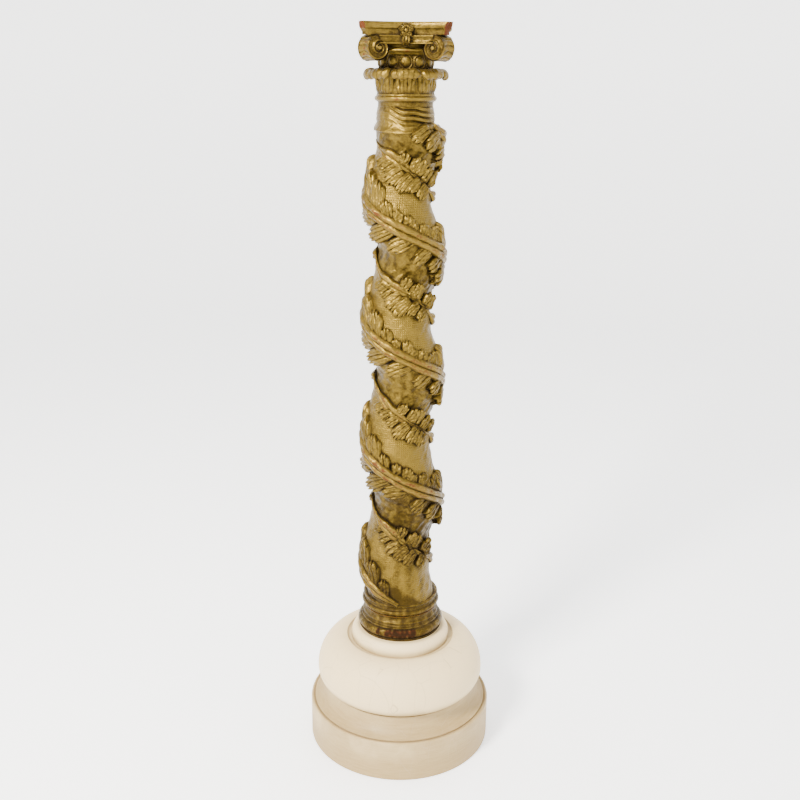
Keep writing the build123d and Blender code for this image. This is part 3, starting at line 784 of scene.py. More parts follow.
def plinth_profiles(sizes):
    """Closed outlines of the five visible rings, from the outer foot round to the bore."""
    drum, board = reach_of("plinth_drum"), reach_of("plinth_bottom_board")
    foot, rim = foot_of("plinth_drum"), head_of("plinth_drum")
    waist, belly = head_of("plinth_scotia_board"), head_of("plinth_torus_lower")
    shoulder, top = head_of("plinth_torus_upper"), head_of("plinth_collar")
    wide = reach_of("plinth_torus_lower")
    bore = ROD_BORE
    r = sizes.rim_round
    quirk = sizes.quirk_depth
    inner = drum - r - 4 * MM
    yield "plinth_drum", np.concatenate([
        oval((drum - 2 * MM, foot + 2 * MM), (2 * MM, 2 * MM), -90, 0, 5),
        line((drum, foot + 2 * MM), (drum, rim - r), 24),
        oval((drum - r, rim - r), (r, r), 0, 90, 9),
        *chain(
            (drum - r, rim), (4, (inner, rim - quirk)), (4, (board, rim - quirk)),
            (14, (board, foot)), (3, (drum - 2 * MM, foot)),
        ),
    ])
    hollow = sizes.waist_radius
    start = inner - 0.6 * MM
    yield "plinth_scotia_board", np.concatenate([
        line((start, rim - quirk + 0.2 * MM), (start, rim + 1.2 * MM), 3),
        bow((start, rim + 1.2 * MM), (hollow, waist - 4 * MM), -7 * MM, 26),
        bow((hollow, waist - 4 * MM), (hollow + 1 * MM, waist), -0.6 * MM, 4),
        *chain(
            (hollow + 1 * MM, waist), (6, (bore, waist)), (4, (bore, rim - quirk + 0.2 * MM)),
            (6, (start, rim - quirk + 0.2 * MM)),
        ),
    ])
    under = hollow - 9 * MM
    bowl = 70 * MM
    yield "plinth_torus_lower", np.concatenate([
        oval((under, belly), (wide - under, belly - waist), -90, 0, 26),
        *chain((wide, belly), (5, (bowl, belly)), (4, (bowl, waist)), (5, (under, waist))),
    ])
    mouth = sizes.mouth_radius
    collar = sizes.collar_foot
    lip = shoulder - 3.5 * MM
    yield "plinth_torus_upper", np.concatenate([
        oval((mouth, belly), (wide - mouth, shoulder - belly), 0, 90, 44),
        bow((mouth, shoulder), (collar + 1.5 * MM, lip), -1.2 * MM, 7),
        *chain((collar + 1.5 * MM, lip), (6, (bore, lip)), (4, (bore, belly)), (6, (wide, belly))),
    ])
    neck = reach_of("base_torus") - 2.5 * MM
    yield "plinth_collar", np.concatenate([
        line((collar, lip + 0.2 * MM), (collar, shoulder + 4 * MM), 4),
        oval((neck, shoulder + 4 * MM), (collar - neck, top - shoulder - 5 * MM), 0, 90, 18),
        *chain(
            (neck, top - 1 * MM), (2, (neck - 1.5 * MM, top)), (5, (bore, top)),
            (4, (bore, lip + 0.2 * MM)), (5, (collar, lip + 0.2 * MM)),
        ),
    ])


class CANDLESTICK_OT_plinth(bpy.types.Operator):
    """Turns the five painted rings of the plinth, each a closed outline carried round"""

    bl_idname = "candlestick.plinth"
    bl_label = "Plinth"

    def execute(self, context):
        sizes = context.scene.plinth_settings
        rng = np.random.default_rng(11)
        for node, outline in plinth_profiles(sizes):
            run_out = waves(rng, 4, 1, 5)
            ripple = waves(rng, 5, 5, 17)
            guard = np.clip((outline[:, 0].max() - outline[:, :1]) / MM, 0, 1)

            def shape(angle, radius, z):
                grow = run_out(angle, z * 0.2) * 0.5 + ripple(angle, z * 0.5) * 0.18
                return sizes.wobble * (grow - 1.6 + 0.6 * guard), 0

            rings = turned(outline, 256, shape)
            Carving().ring(rings).build("cream_paint", node, "turned", crease=40)
        return {"FINISHED"}


# ---------------------------------------------------------------- gilt base


def base_profiles():
    """Closed outlines of the torus, the filleted cove and the beaded collar."""
    torus, collar = reach_of("base_torus"), reach_of("base_collar")
    foot, cove, bead = (foot_of(f"base_{ring}") for ring in ("torus", "cove", "collar"))
    top = head_of("base_collar")
    bore = ROD_BORE
    yield "base_torus", np.concatenate([
        oval((torus - 6 * MM, foot + 4 * MM), (3.5 * MM, 4 * MM), -90, 0, 5),
        line((torus - 2.5 * MM, foot + 4 * MM), (torus - 2 * MM, foot + 6 * MM), 2),
        oval((torus - 11 * MM, foot + 15.5 * MM), (11 * MM, 10 * MM), -60, 80, 26),
        *chain(
            (torus - 9 * MM, cove - 2.2 * MM), (2, (torus - 10 * MM, cove)), (6, (bore, cove)),
            (4, (bore, foot)), (6, (torus - 6 * MM, foot)),
        ),
    ])
    wide = torus - 8 * MM
    mid = cove + 10 * MM
    yield "base_cove", np.concatenate([
        line((wide, cove), (wide, cove + 2.5 * MM), 2),
        bow((wide, cove + 2.5 * MM), (wide - 3 * MM, mid), -2.6 * MM, 10),
        line((wide - 3 * MM, mid), (wide - 3 * MM, mid + 2 * MM), 2),
        bow((wide - 3.4 * MM, mid + 2 * MM), (collar - 3.5 * MM, bead - 2 * MM), -3.4 * MM, 12),
        *chain(
            (collar - 3.5 * MM, bead - 2 * MM), (2, (collar - 3 * MM, bead)), (6, (bore, bead)),
            (4, (bore, cove)), (6, (wide, cove)),
        ),
    ])
    yield "base_collar", np.concatenate([
        line((collar - 4 * MM, bead), (collar - 3.4 * MM, bead + 1 * MM), 2),
        oval((collar - 6.5 * MM, bead + 7 * MM), (6.5 * MM, 6.2 * MM), -75, 80, 20),
        bow((collar - 5.2 * MM, bead + 13.4 * MM), (collar - 3 * MM, top - 4 * MM), -1.5 * MM, 8),
        oval((collar - 6 * MM, top - 4 * MM), (3 * MM, 4 * MM), 0, 90, 6),
        *chain(
            (collar - 6 * MM, top), (6, (bore, top)), (4, (bore, bead)),
            (6, (collar - 4 * MM, bead)),
        ),
    ])


class CANDLESTICK_OT_base(bpy.types.Operator):
    """Turns the gilt base mouldings and wears the front of the torus down to its bole"""

    bl_idname = "candlestick.base"
    bl_label = "Base mouldings"

    def execute(self, context):
        rng = np.random.default_rng(23)
        for node, outline in base_profiles():
            uneven = waves(rng, 6, 2, 11)
            dents = waves(rng, 8, 12, 40)

            def shape(angle, radius, z):
                return -0.5 * MM + 0.28 * MM * uneven(angle, z) + 0.16 * MM * dents(angle, z * 3), 0

            rings = turned(outline, 240, shape)
            angle = np.arange(240)[None, :] * TAU / 240
            outside = outline[:, :1] > 70 * MM
            low = rings[..., 2]
            worn = np.zeros(rings.shape[:2])
            if node == "base_torus":
                middle = foot_of(node) + 18 * MM
                off = (angle - FRONT + math.pi) % TAU - math.pi
                ragged = 0.10 * dents(angle, low * 3) + 0.06 * uneven(angle * 3, low)
                worn = soft_step((0.40 - np.abs(off + 0.02) + ragged) / 0.08)
                worn = worn * hump(low - middle + 3 * MM * dents(angle * 2, 0), 6 * MM) * 1.35
            edges = np.abs(np.gradient(np.gradient(outline[:, 0]))) / MM
            relief = np.clip(0.42 + edges[:, None] * 0.2 + 0.12 * dents(angle, low), 0, 1) * outside
            Carving().ring(rings, relief, 0, worn).build("gilt_base", node, "turned", crease=42)
        return {"FINISHED"}


# ---------------------------------------------------------------- shaft


class CANDLESTICK_OT_shaft(bpy.types.Operator):
    """Carves the twisted core: off-centre circles that turn and taper as they climb"""

    bl_idname = "candlestick.shaft"
    bl_label = "Twisted core"

    def execute(self, context):
        twist = Twist(context.scene.twist_settings)
        rng = np.random.default_rng(31)
        columns, rows = 224, 420
        angle = np.arange(columns)[None, :] * TAU / columns
        z = np.linspace(twist.foot, twist.neck, rows)[:, None]
        ahead = (angle - FRONT) / TAU - twist.turn(z)
        ahead = ahead - np.floor(ahead)
        gouged = waves(rng, 9, 6, 26)
        facets = waves(rng, 6, 2, 7)
        punched = soft_step((ahead - 0.10) / 0.04) * soft_step((0.52 - ahead) / 0.05)
        plain = soft_step((ahead - 0.53) / 0.06) * soft_step((0.95 - ahead) / 0.06)
        level = soft_step((twist.neck - z) / (60 * MM)) * soft_step((z - twist.foot) / (50 * MM))
        proud = 0.9 * MM * gouged(angle, z * 6) * (0.5 + 0.5 * plain)
        proud = proud + 1.3 * MM * facets(angle, z * 3) * level
        channel, swell = hump(ahead - 0.66, 0.13), hump(ahead - 0.20, 0.14)
        proud = proud - level * (5.5 * MM * channel - 3.0 * MM * swell)
        relief = 0.35 + 0.12 * gouged(angle, z * 0.7) + 0.12 * punched
        rings = twist.point(angle, z, proud)
        Carving().tube(rings, np.clip(relief, 0, 1), punched).build("gilt_ground", "shaft_core")
        return {"FINISHED"}


def vine(twist, first, last, width, proud, rows, wander=0.0, behind=0.0):
    """Rings of a double-ribbed strand that follows the crest, or the hollow behind it.

    Its section is two half-round ribs with a sharp valley between, on a flat back.
    """
    turn = np.linspace(first, last, rows)[:, None]
    x = np.concatenate([np.linspace(1, -1, 27), [-0.7, 0.7]])[None, :]
    upper = np.concatenate([np.ones(27), [0, 0]])[None, :]
    lobe = np.sqrt(np.clip(1 - ((np.abs(x) - 0.42) / 0.60) ** 2, 0, 1))
    skin = np.where(upper > 0, lobe * (1 + 0.12 * x), -0.25)
    ends = soft_step((turn - first) / 0.10) * soft_step((last - turn) / 0.10)
    beat = 1 + 0.07 * np.sin(turn * TAU * 5.3) + 0.03 * np.sin(turn * TAU * 13.1)
    swell = (0.35 + 0.65 * ends) * beat
    rope = 0.04 * np.sin(turn * TAU * 23 + x * 4) * upper
    if behind:
        place = np.mod(2 * turn + 0.5, 1) / 2 - 0.25
        thin = soft_step((place + 0.05) / 0.12) * soft_step((0.25 - place) / 0.06)
        swell = swell * (1 - 0.7 * thin)
        swell = swell * (1 - 0.55 * soft_step((-0.10 - place) / 0.06))
    across = x * width / 2 * swell + wander * np.sin(turn * TAU * 2.7)
    rings = twist.strand(turn, across, proud * (skin + rope) * swell, behind)
    relief = np.clip(0.05 + 0.85 * lobe * upper, 0, 1) * np.ones_like(turn)
    return rings, relief


class CANDLESTICK_OT_stem(bpy.types.Operator):
    """Carves the double-ribbed vine stem along the crest of the twist"""

    bl_idname = "candlestick.stem"
    bl_label = "Vine stem"

    def execute(self, context):
        twist = Twist(context.scene.twist_settings)
        sizes = context.scene.carving_settings
        first, last = twist.turn(twist.neck) - 0.03, twist.turn(twist.foot) - 0.01
        rings, relief = vine(twist, first, last, sizes.stem_width, sizes.stem_proud, 900)
        Carving().tube(rings, relief).build("gilt_foliage", "vine_stem", crease=60)
        return {"FINISHED"}


# A share of a leaf's length past its tip, so that all of it runs down into the ground.
ALL_CARVED_DOWN = 1.2


def leaf_at(twist, turn, across, rng, size, lean, bend, fingers, sizes, **form):
    """A leaf rooted beside the stem at a turn, with small irregularities of a carver's hand."""
    behind = form.pop("behind", 0.0)
    angle = TAU * (turn + behind) + FRONT + rng.normal(0, 0.025)
    z = np.minimum(twist.height(turn) + across, twist.neck + 5 * MM)
    scale = 1 + rng.normal(0, 0.06)
    span, width = size
    if form.pop("climbs", False):
        span = np.minimum(span * scale, twist.neck + 12 * MM - z) / scale
    form.setdefault("flute", sizes.flute)
    form["free"] = ALL_CARVED_DOWN
    form["uneven"] = rng.uniform(0, TAU)
    tilt = lean + rng.normal(0, 0.07)
    return leaf(twist.patch(angle, z), (span * scale, width * scale), tilt, bend, fingers, **form)


# Place in a half turn, length and width in millimetres, lean in degrees, fingers and scoop.
UPPER_PATTERN = (
    (-0.24, 92, 58, 103, 7, 0.1),
    (-0.175, 90, 54, 98, 6, 0.1),
    (-0.115, 66, 44, 92, 5, 0.2),
    (-0.065, 46, 31, 84, 4, 0.3),
    (-0.025, 38, 25, 74, 3, 0.5),
    (0.01, 42, 28, 66, 4, 0.4),
    (0.045, 35, 25, 72, 3, 0.6),
    (0.08, 44, 29, 62, 4, 0.3),
    (0.12, 38, 27, 70, 3, 0.5),
    (0.16, 50, 33, 74, 4, 0.2),
    (0.205, 54, 38, 82, 5, 0.2),
)
# Length and width in millimetres, lean in degrees and fingers, in turn.
LOWER_PATTERN = (
    (72, 46, 186, 5),
    (84, 42, 198, 5),
    (70, 36, 192, 4),
    (60, 32, 206, 4),
    (66, 34, 200, 4),
    (76, 40, 194, 5),
    (58, 34, 210, 4),
)


class CANDLESTICK_OT_upper_leaves(bpy.types.Operator):
    """Carves the leaves that rise above the stem, four sprays of them"""

    bl_idname = "candlestick.upper_leaves"
    bl_label = "Upper leaves"

    def execute(self, context):
        twist = Twist(context.scene.twist_settings)
        sizes = context.scene.carving_settings
        rng = np.random.default_rng(sizes.seed)
        first, last = twist.turn(twist.neck) + 0.10, twist.turn(twist.foot) - 0.03
        turns = round(twist.sizes.turns)
        for k in range(turns):
            carving = Carving()
            halves = (0, 0.5, 1) if k == turns - 1 else (0, 0.5)
            for half in halves:
                for step, span, width, lean, fingers, scoop in UPPER_PATTERN:
                    turn = k + half + step
                    if not first < turn < last:
                        continue
                    size = (span * sizes.leaf_scale * MM, width * sizes.leaf_scale * MM)
                    carving.pillow(*leaf_at(
                        twist, turn, 3 * MM, rng, size, math.radians(lean), 0.25, fingers, sizes,
                        scoop=scoop, lift=5 * MM, start=0.10, bends=((0.68, 0.06), (0.32, -1.7)),
                        notch=0.19, drop=0.46, root=0.6, climbs=True,
                    ))
            node = f"upper_leaves_{k + 1}"
            carving.build("gilt_foliage", node)
        return {"FINISHED"}


class CANDLESTICK_OT_lower_leaves(bpy.types.Operator):
    """Carves the long leaves that sweep back and hang below the stem, four sprays of them"""

    bl_idname = "candlestick.lower_leaves"
    bl_label = "Lower leaves"

    def execute(self, context):
        twist = Twist(context.scene.twist_settings)
        sizes = context.scene.carving_settings
        rng = np.random.default_rng(sizes.seed + 1)
        first, last = 0.06, twist.turn(twist.foot) - 0.14
        for k in range(round(twist.sizes.turns)):
            carving = Carving()
            for j in range(sizes.lower_count):
                turn = k + (j - 1.5) / sizes.lower_count
                if not first < turn < last:
                    continue
                span, width, lean, fingers = LOWER_PATTERN[j % len(LOWER_PATTERN)]
                size = (span * sizes.leaf_scale * MM, width * sizes.leaf_scale * MM)
                carving.pillow(*leaf_at(
                    twist, turn, -3 * MM, rng, size, math.radians(lean), 0.35, fingers, sizes,
                    lift=4.5 * MM, start=0.12, bends=((0.5, 0.05), (0.28, 0.12), (0.22, -2.4)),
                    notch=0.17, drop=0.5, root=0.6, scoop=0.15,
                ))
            node = f"lower_leaves_{k + 1}"
            carving.build("gilt_foliage", node)
        return {"FINISHED"}


# Place in a half turn, length and width in millimetres, lean in degrees and fingers.
VINE_PATTERN = (
    (-0.09, 32, 26, 206, 3),
    (-0.05, 38, 30, 200, 4),
    (-0.02, 32, 28, 58, 4),
    (0.00, 42, 32, 208, 4),
    (0.03, 34, 26, 48, 3),
    (0.045, 46, 36, 214, 5),
    (0.06, 38, 32, 66, 4),
    (0.085, 40, 30, 222, 4),
    (0.11, 36, 30, 56, 4),
    (0.13, 36, 30, 236, 4),
    (0.16, 34, 28, 70, 4),
)


class CANDLESTICK_OT_groove_vine(bpy.types.Operator):
    """Carves the thin vine in the hollow of the twist, with its small crinkled leaves"""

    bl_idname = "candlestick.groove_vine"
    bl_label = "Groove vine"

    def execute(self, context):
        twist = Twist(context.scene.twist_settings)
        sizes = context.scene.carving_settings
        rng = np.random.default_rng(sizes.seed + 2)
        first, last = twist.turn(twist.neck) + 0.08, twist.turn(twist.foot) - 0.10
        for k in range(round(twist.sizes.turns)):
            low, high = max(first, k), min(last, k + 1)
            carving = Carving()
            carving.tube(*vine(
                twist, low, high, sizes.vine_width, sizes.vine_proud, 240,
                wander=3 * MM, behind=0.5,
            ))
            for half in (0, 0.5, 1):
                for step, span, width, lean, fingers in VINE_PATTERN:
                    turn = k + half + step
                    if not low < turn < high:
                        continue
                    size = (span * MM, width * MM)
                    carving.pillow(*leaf_at(
                        twist, turn, 0, rng, size, math.radians(lean), 0.5, fingers, sizes,
                        lift=5.5 * MM, start=0.22, bends=((0.7, -0.12), (0.3, -1.5)), notch=0.2,
                        drop=0.5, flute=3.0 * MM, root=0.65, rows=22, behind=0.5, scoop=0.2,
                    ))
            node = f"groove_vine_{k + 1}"
            carving.build("gilt_foliage", node)
        return {"FINISHED"}


# ---------------------------------------------------------------- neck and capital


class CANDLESTICK_OT_neck(bpy.types.Operator):
    """Carves the folded cuff at the head of the shaft and the beaded necking over it"""

    bl_idname = "candlestick.neck"
    bl_label = "Neck"

    def execute(self, context):
        foot, top = foot_of("neck_cuff"), head_of("neck_cuff")
        wide = reach_of("neck_cuff") - 2.5 * MM
        twist = Twist(context.scene.twist_settings)
        inner = 48 * MM
        outline = np.concatenate([
            line((inner, foot + 6 * MM), (wide - 4 * MM, foot - 1 * MM), 8),
            bow((wide - 4 * MM, foot - 1 * MM), (wide - 3 * MM, top), 3.6 * MM, 60),
            *chain((wide - 3 * MM, top), (5, (inner, top)), (6, (inner, foot + 6 * MM))),
        ])

        def folds(angle, radius, z):
            face = soft_step((radius - inner) / (6 * MM))
            skew = z + 13 * MM * np.sin(angle + 0.9) + 4 * MM * np.sin(3 * angle)
            skew = skew + 1.5 * MM * np.sin(7 * angle + 1)
            fold = np.sin(skew / (10.5 * MM) * TAU) + 0.5 * np.sin(skew / (5.1 * MM) * TAU + 2 * angle)
            fold = fold * (0.55 + 0.45 * np.sin(2 * angle + 40 * z))
            hem = soft_step((foot + 14 * MM - z) / (14 * MM)) * face
            ragged = np.sin(angle - 2.6) * 0.8 + np.sin(3 * angle + 0.4) * 0.35 + 0.2
            dip = -(8 * MM) * ragged * hem
            level = np.minimum(z, twist.neck)
            x, y = twist.centre(level)
            core = twist.radius(level) + x * np.cos(angle) + y * np.sin(angle)
            over = np.maximum(core + 6.5 * MM - radius, 0) * hem
            return 1.9 * MM * fold * face + over, dip

        rings = turned(outline, 220, folds)
        radius = np.hypot(rings[..., 0], rings[..., 1])
        relief = np.clip((radius - wide + 5 * MM) / (6 * MM), 0, 1) * 0.55
        Carving().ring(rings, relief).build("gilt_foliage", "neck_cuff")

        foot, top = foot_of("necking_bead"), head_of("necking_bead")
        bead = reach_of("necking_bead") - 1.2 * MM
        bore = DOWEL_BORE
        throat = 53 * MM
        outline = np.concatenate([
            line((throat, foot), (throat, foot + 7 * MM), 5),
            bow((throat, foot + 7 * MM), (throat + 1.6 * MM, foot + 9 * MM), 0.4 * MM, 3),
            oval((bead - 4.6 * MM, foot + 14 * MM), (4.4 * MM, 4.8 * MM), -80, 80, 16),
            *chain(
                (bead - 3.8 * MM, top - 3 * MM), (3, (bead - 4 * MM, top)), (5, (bore, top)),
                (4, (bore, foot)), (5, (throat, foot)),
            ),
        ])
        carving = Carving()
        rng = np.random.default_rng(41)
        uneven = waves(rng, 6, 2, 13)
        rings = turned(outline, 200, lambda angle, radius, z: (0.2 * MM * uneven(angle, z), 0))
        raised = np.clip((outline[:, :1] - throat) / (5 * MM), 0, 1)
        carving.ring(rings, 0.2 + 0.6 * raised)
        carving.build("gilt_capital", "necking_bead", "turned")
        return {"FINISHED"}


class CANDLESTICK_OT_bell(bpy.types.Operator):
    """Carves the capital's bell and the eight leaves whose tips curl out from it"""

    bl_idname = "candlestick.bell"
    bl_label = "Bell and leaves"

    def execute(self, context):
        sizes = context.scene.capital_settings
        foot, top = foot_of("capital_bell"), head_of("capital_bell")
        wide = reach_of("capital_bell")
        bore = DOWEL_BORE
        outline = np.concatenate([
            line((wide - 2.5 * MM, foot), (wide - 3.5 * MM, top - 6 * MM), 16),
            bow((wide - 3.5 * MM, top - 6 * MM), (wide - 6 * MM, top), 0.8 * MM, 4),
            *chain(
                (wide - 6 * MM, top), (5, (bore, top)), (4, (bore, foot)),
                (5, (wide - 2.5 * MM, foot)),
            ),
        ])

        def reeds(angle, radius, z):
            face = soft_step((radius - 50 * MM) / (4 * MM))
            return -0.9 * MM * np.abs(np.sin(16 * angle)) ** 0.5 * face, 0

        carving = Carving()
        rings = turned(outline, 256, reeds)
        carving.ring(rings, 0.3)
        carving.build("gilt_capital", "capital_bell")

        rng = np.random.default_rng(43)
        for i in range(8):
            middle = FRONT + TAU * i / 8
            tilt = rng.normal(0, 0.03)

            def place(around, up, proud):
                radius = wide - 3 * MM + proud
                angle = middle + around / wide
                x, y = radius * np.cos(angle), radius * np.sin(angle)
                return np.stack(np.broadcast_arrays(x, y, foot + up), -1)

            carving = Carving()
            size = (sizes.leaf_height * 1.46, sizes.leaf_width)
            carving.pillow(*leaf(
                place, size, math.pi / 2 + tilt, 0, 5, lift=1.2 * MM, start=0.02, flute=1.7 * MM,
                wall=6.5 * MM, bends=((0.46, 0.10), (0.18, 1.4), (0.06, 0.1), (0.30, 3.3)),
                free=0.42, root=0.85, close=0.3, notch=0.06, drop=0.08, rows=48, uneven=float(i),
            ))
            node = f"capital_leaf_{i + 1}"
            carving.build("gilt_capital", node)
        return {"FINISHED"}


def scroll(sizes):
    """Rings of a corner scroll about its own axis: (out along the axis, ray, angle, relief).

    Each end is a spiral fillet over a dished face: the fillet stands where the angle and the
    logarithm of the radius are in step, so it winds in to the eye. The roll is a wedge,
    thinner away from the axis, and its rim is waisted and cut into husks.
    """
    columns = 112
    a = np.arange(columns)[None, :] * TAU / columns
    radius, half = sizes.volute_radius, sizes.volute_width / 2
    ray = np.linspace(0.04, 1, 46)[:, None]
    steps = a / TAU + np.log(1 / ray) / math.log(2.0)
    from_line = np.abs(steps - np.round(steps))
    fillet = hump(from_line, 0.12) * soft_step((ray - 0.16) / 0.08)
    eye = 1 - soft_step((ray - 0.13) / 0.07)
    face = half - 4.6 * MM + 3.0 * MM * (1 - ray) ** 1.3 + 4.2 * MM * fillet + 3.6 * MM * eye
    rim_x = np.linspace(1, -1, 19)[1:-1, None]
    husk = 0.12 * np.abs(np.cos(5.5 * a + 0.9 * np.abs(rim_x))) ** 0.6 * (1 - 0.85 * rim_x**2)
    waist = (0.84 + 0.16 * np.abs(rim_x) ** 1.5) + husk
    out = np.concatenate([face, rim_x * (half - 0.5 * MM) + 0 * a, -face[::-1]])
    rays = np.concatenate([ray + 0 * a, waist, (ray + 0 * a)[::-1]])
    relief_face = np.clip(0.1 + 0.85 * fillet + 0.7 * eye, 0, 1)
    relief = np.concatenate([relief_face, np.clip(husk * 9, 0, 1), relief_face[::-1]])
    wedge = 1 - 0.30 * rays * np.cos(a)
    return out * wedge, rays * radius, a + 0 * rays, relief


class CANDLESTICK_OT_volutes(bpy.types.Operator):
    """Carves the echinus with its eggs and the four corner scrolls with their bands"""

    bl_idname = "candlestick.volutes"
    bl_label = "Echinus and volutes"

    def execute(self, context):
        sizes = context.scene.capital_settings
        foot, top = foot_of("capital_echinus"), head_of("capital_echinus")
        wide = reach_of("capital_echinus")
        neck = 51 * MM
        bore = 21.7 * MM
        floor = foot_of("candle_cup") - 0.2 * MM
        outline = np.concatenate([
            line((neck, foot), (neck + 0.5 * MM, foot + 24 * MM), 26),
            bow((neck + 0.5 * MM, foot + 24 * MM), (neck + 5 * MM, foot + 30 * MM), 0.8 * MM, 6),
            oval((neck + 6.5 * MM, foot + 33.2 * MM), (3 * MM, 3 * MM), -80, 80, 9),
            line((neck + 6 * MM, foot + 36.5 * MM), (neck + 4 * MM, foot + 38 * MM), 3),
            bow((neck + 4 * MM, foot + 38 * MM), (wide - 6 * MM, top), -2 * MM, 12),
            *chain(
                (wide - 6 * MM, top), (4, (bore, top)), (5, (bore, floor)), (3, (3 * MM, floor)),
                (3, (3 * MM, foot)), (5, (neck, foot)),
            ),
        ])

        def eggs(angle, radius, z):
            face = soft_step((radius - 45 * MM) / (4 * MM))
            face = face * soft_step((foot + 25 * MM - z) / (2 * MM))
            cell = np.mod(angle / TAU * sizes.egg_count + 0.5, 1) - 0.5
            away = np.sqrt((cell / 0.34) ** 2 + ((z - foot - 13 * MM) / (10 * MM)) ** 2)
            dome = np.sqrt(np.clip(1 - away**2, 0, 1))
            husk = hump(away - 1.28, 0.14)
            return (3.6 * MM * dome + 2.2 * MM * husk - 1.2 * MM) * face, 0

        rings = turned(outline, 288, eggs)
        radius = np.hypot(rings[..., 0], rings[..., 1])
        relief = np.clip((radius - 50 * MM) / (9 * MM), 0, 1)
        Carving().ring(rings, relief).build("gilt_capital", "capital_echinus")

        out, ray, a, relief = scroll(sizes)
        slab = foot_of("abacus")
        level = slab - sizes.volute_radius - 0.5 * MM
        for i in range(4):
            corner = math.radians(-135 + 90 * i)
            diagonal = np.array([math.cos(corner), math.sin(corner), 0])
            sideways = np.array([-math.sin(corner), math.cos(corner), 0])
            spread = sizes.volute_reach + ray * np.cos(a)
            points = spread[..., None] * diagonal + out[..., None] * sideways
            points = points + (level + ray * np.sin(a))[..., None] * np.array([0, 0, 1])
            carving = Carving()
            carving.tube(points, relief)
            self.bands(carving, corner, slab)
            node = f"volute_{i + 1}"
            carving.build("gilt_capital", node)
        return {"FINISHED"}

    @staticmethod
    def bands(carving, corner, slab):
        """Two channelled bands that run from the scroll along the slab to the side's middle."""
        diagonal = np.array([math.cos(corner), math.sin(corner)])
        section = np.concatenate([
            line((0, 0), (5 * MM, 0), 2),
            oval((5 * MM, -1.4 * MM), (1.6 * MM, 1.4 * MM), 90, -90, 5),
            oval((5.4 * MM, -7.5 * MM), (1.9 * MM, 4.6 * MM), 90, 270, 8),
            oval((5 * MM, -13.6 * MM), (1.8 * MM, 1.6 * MM), 90, -90, 6),
            *chain((5 * MM, -15.2 * MM), (2, (0, -15.2 * MM)), (3, (0, 0))),
        ])
        for hand in (-1, 1):
            t = np.linspace(0, 1, 22)[:, None]
            square = np.array([-diagonal[1], diagonal[0]])
            normal = (diagonal + hand * square) / math.sqrt(2)
            tangent = diagonal - normal / math.sqrt(2)
            tangent = tangent / np.hypot(*tangent)
            run = 48 * MM * t
            depth = 57 * MM + 11.5 * MM * t**2
            shift = section[None, :, 0]
            x = normal[0] * (depth + shift) + tangent[0] * run
            y = normal[1] * (depth + shift) + tangent[1] * run
            z = slab - 0.3 * MM + section[None, :, 1] + 0 * t
            points = np.stack(np.broadcast_arrays(x, y, z), -1)
            carving.tube(points, 0.3 + 0.5 * (section[None, :, 0] > 5.5 * MM) + 0 * t)


def abacus_edge(half, count):
    """Points round a square with hollow sides and cut corners, as offsets of one size.

    Each side bends in as a parabola, and a short flat joins it to the next.
    """
    corner, hollow = 0.9 * half, 0.27 * half
    t = np.linspace(-1, 1, count, endpoint=False)
    side = np.stack([corner * t, -(half - hollow * (1 - t**2))], -1)
    cut = np.linspace(corner, half, 6, endpoint=False)
    back = np.linspace(-half, -corner, 6, endpoint=False)
    flat = np.stack([cut, back], -1)
    quarter = np.concatenate([side, flat])
    sides = []
    for k in np.arange(4) * TAU / 4:
        turn = np.array([[math.cos(k), -math.sin(k)], [math.sin(k), math.cos(k)]])
        sides.append(quarter @ turn.T)
    return np.concatenate(sides)


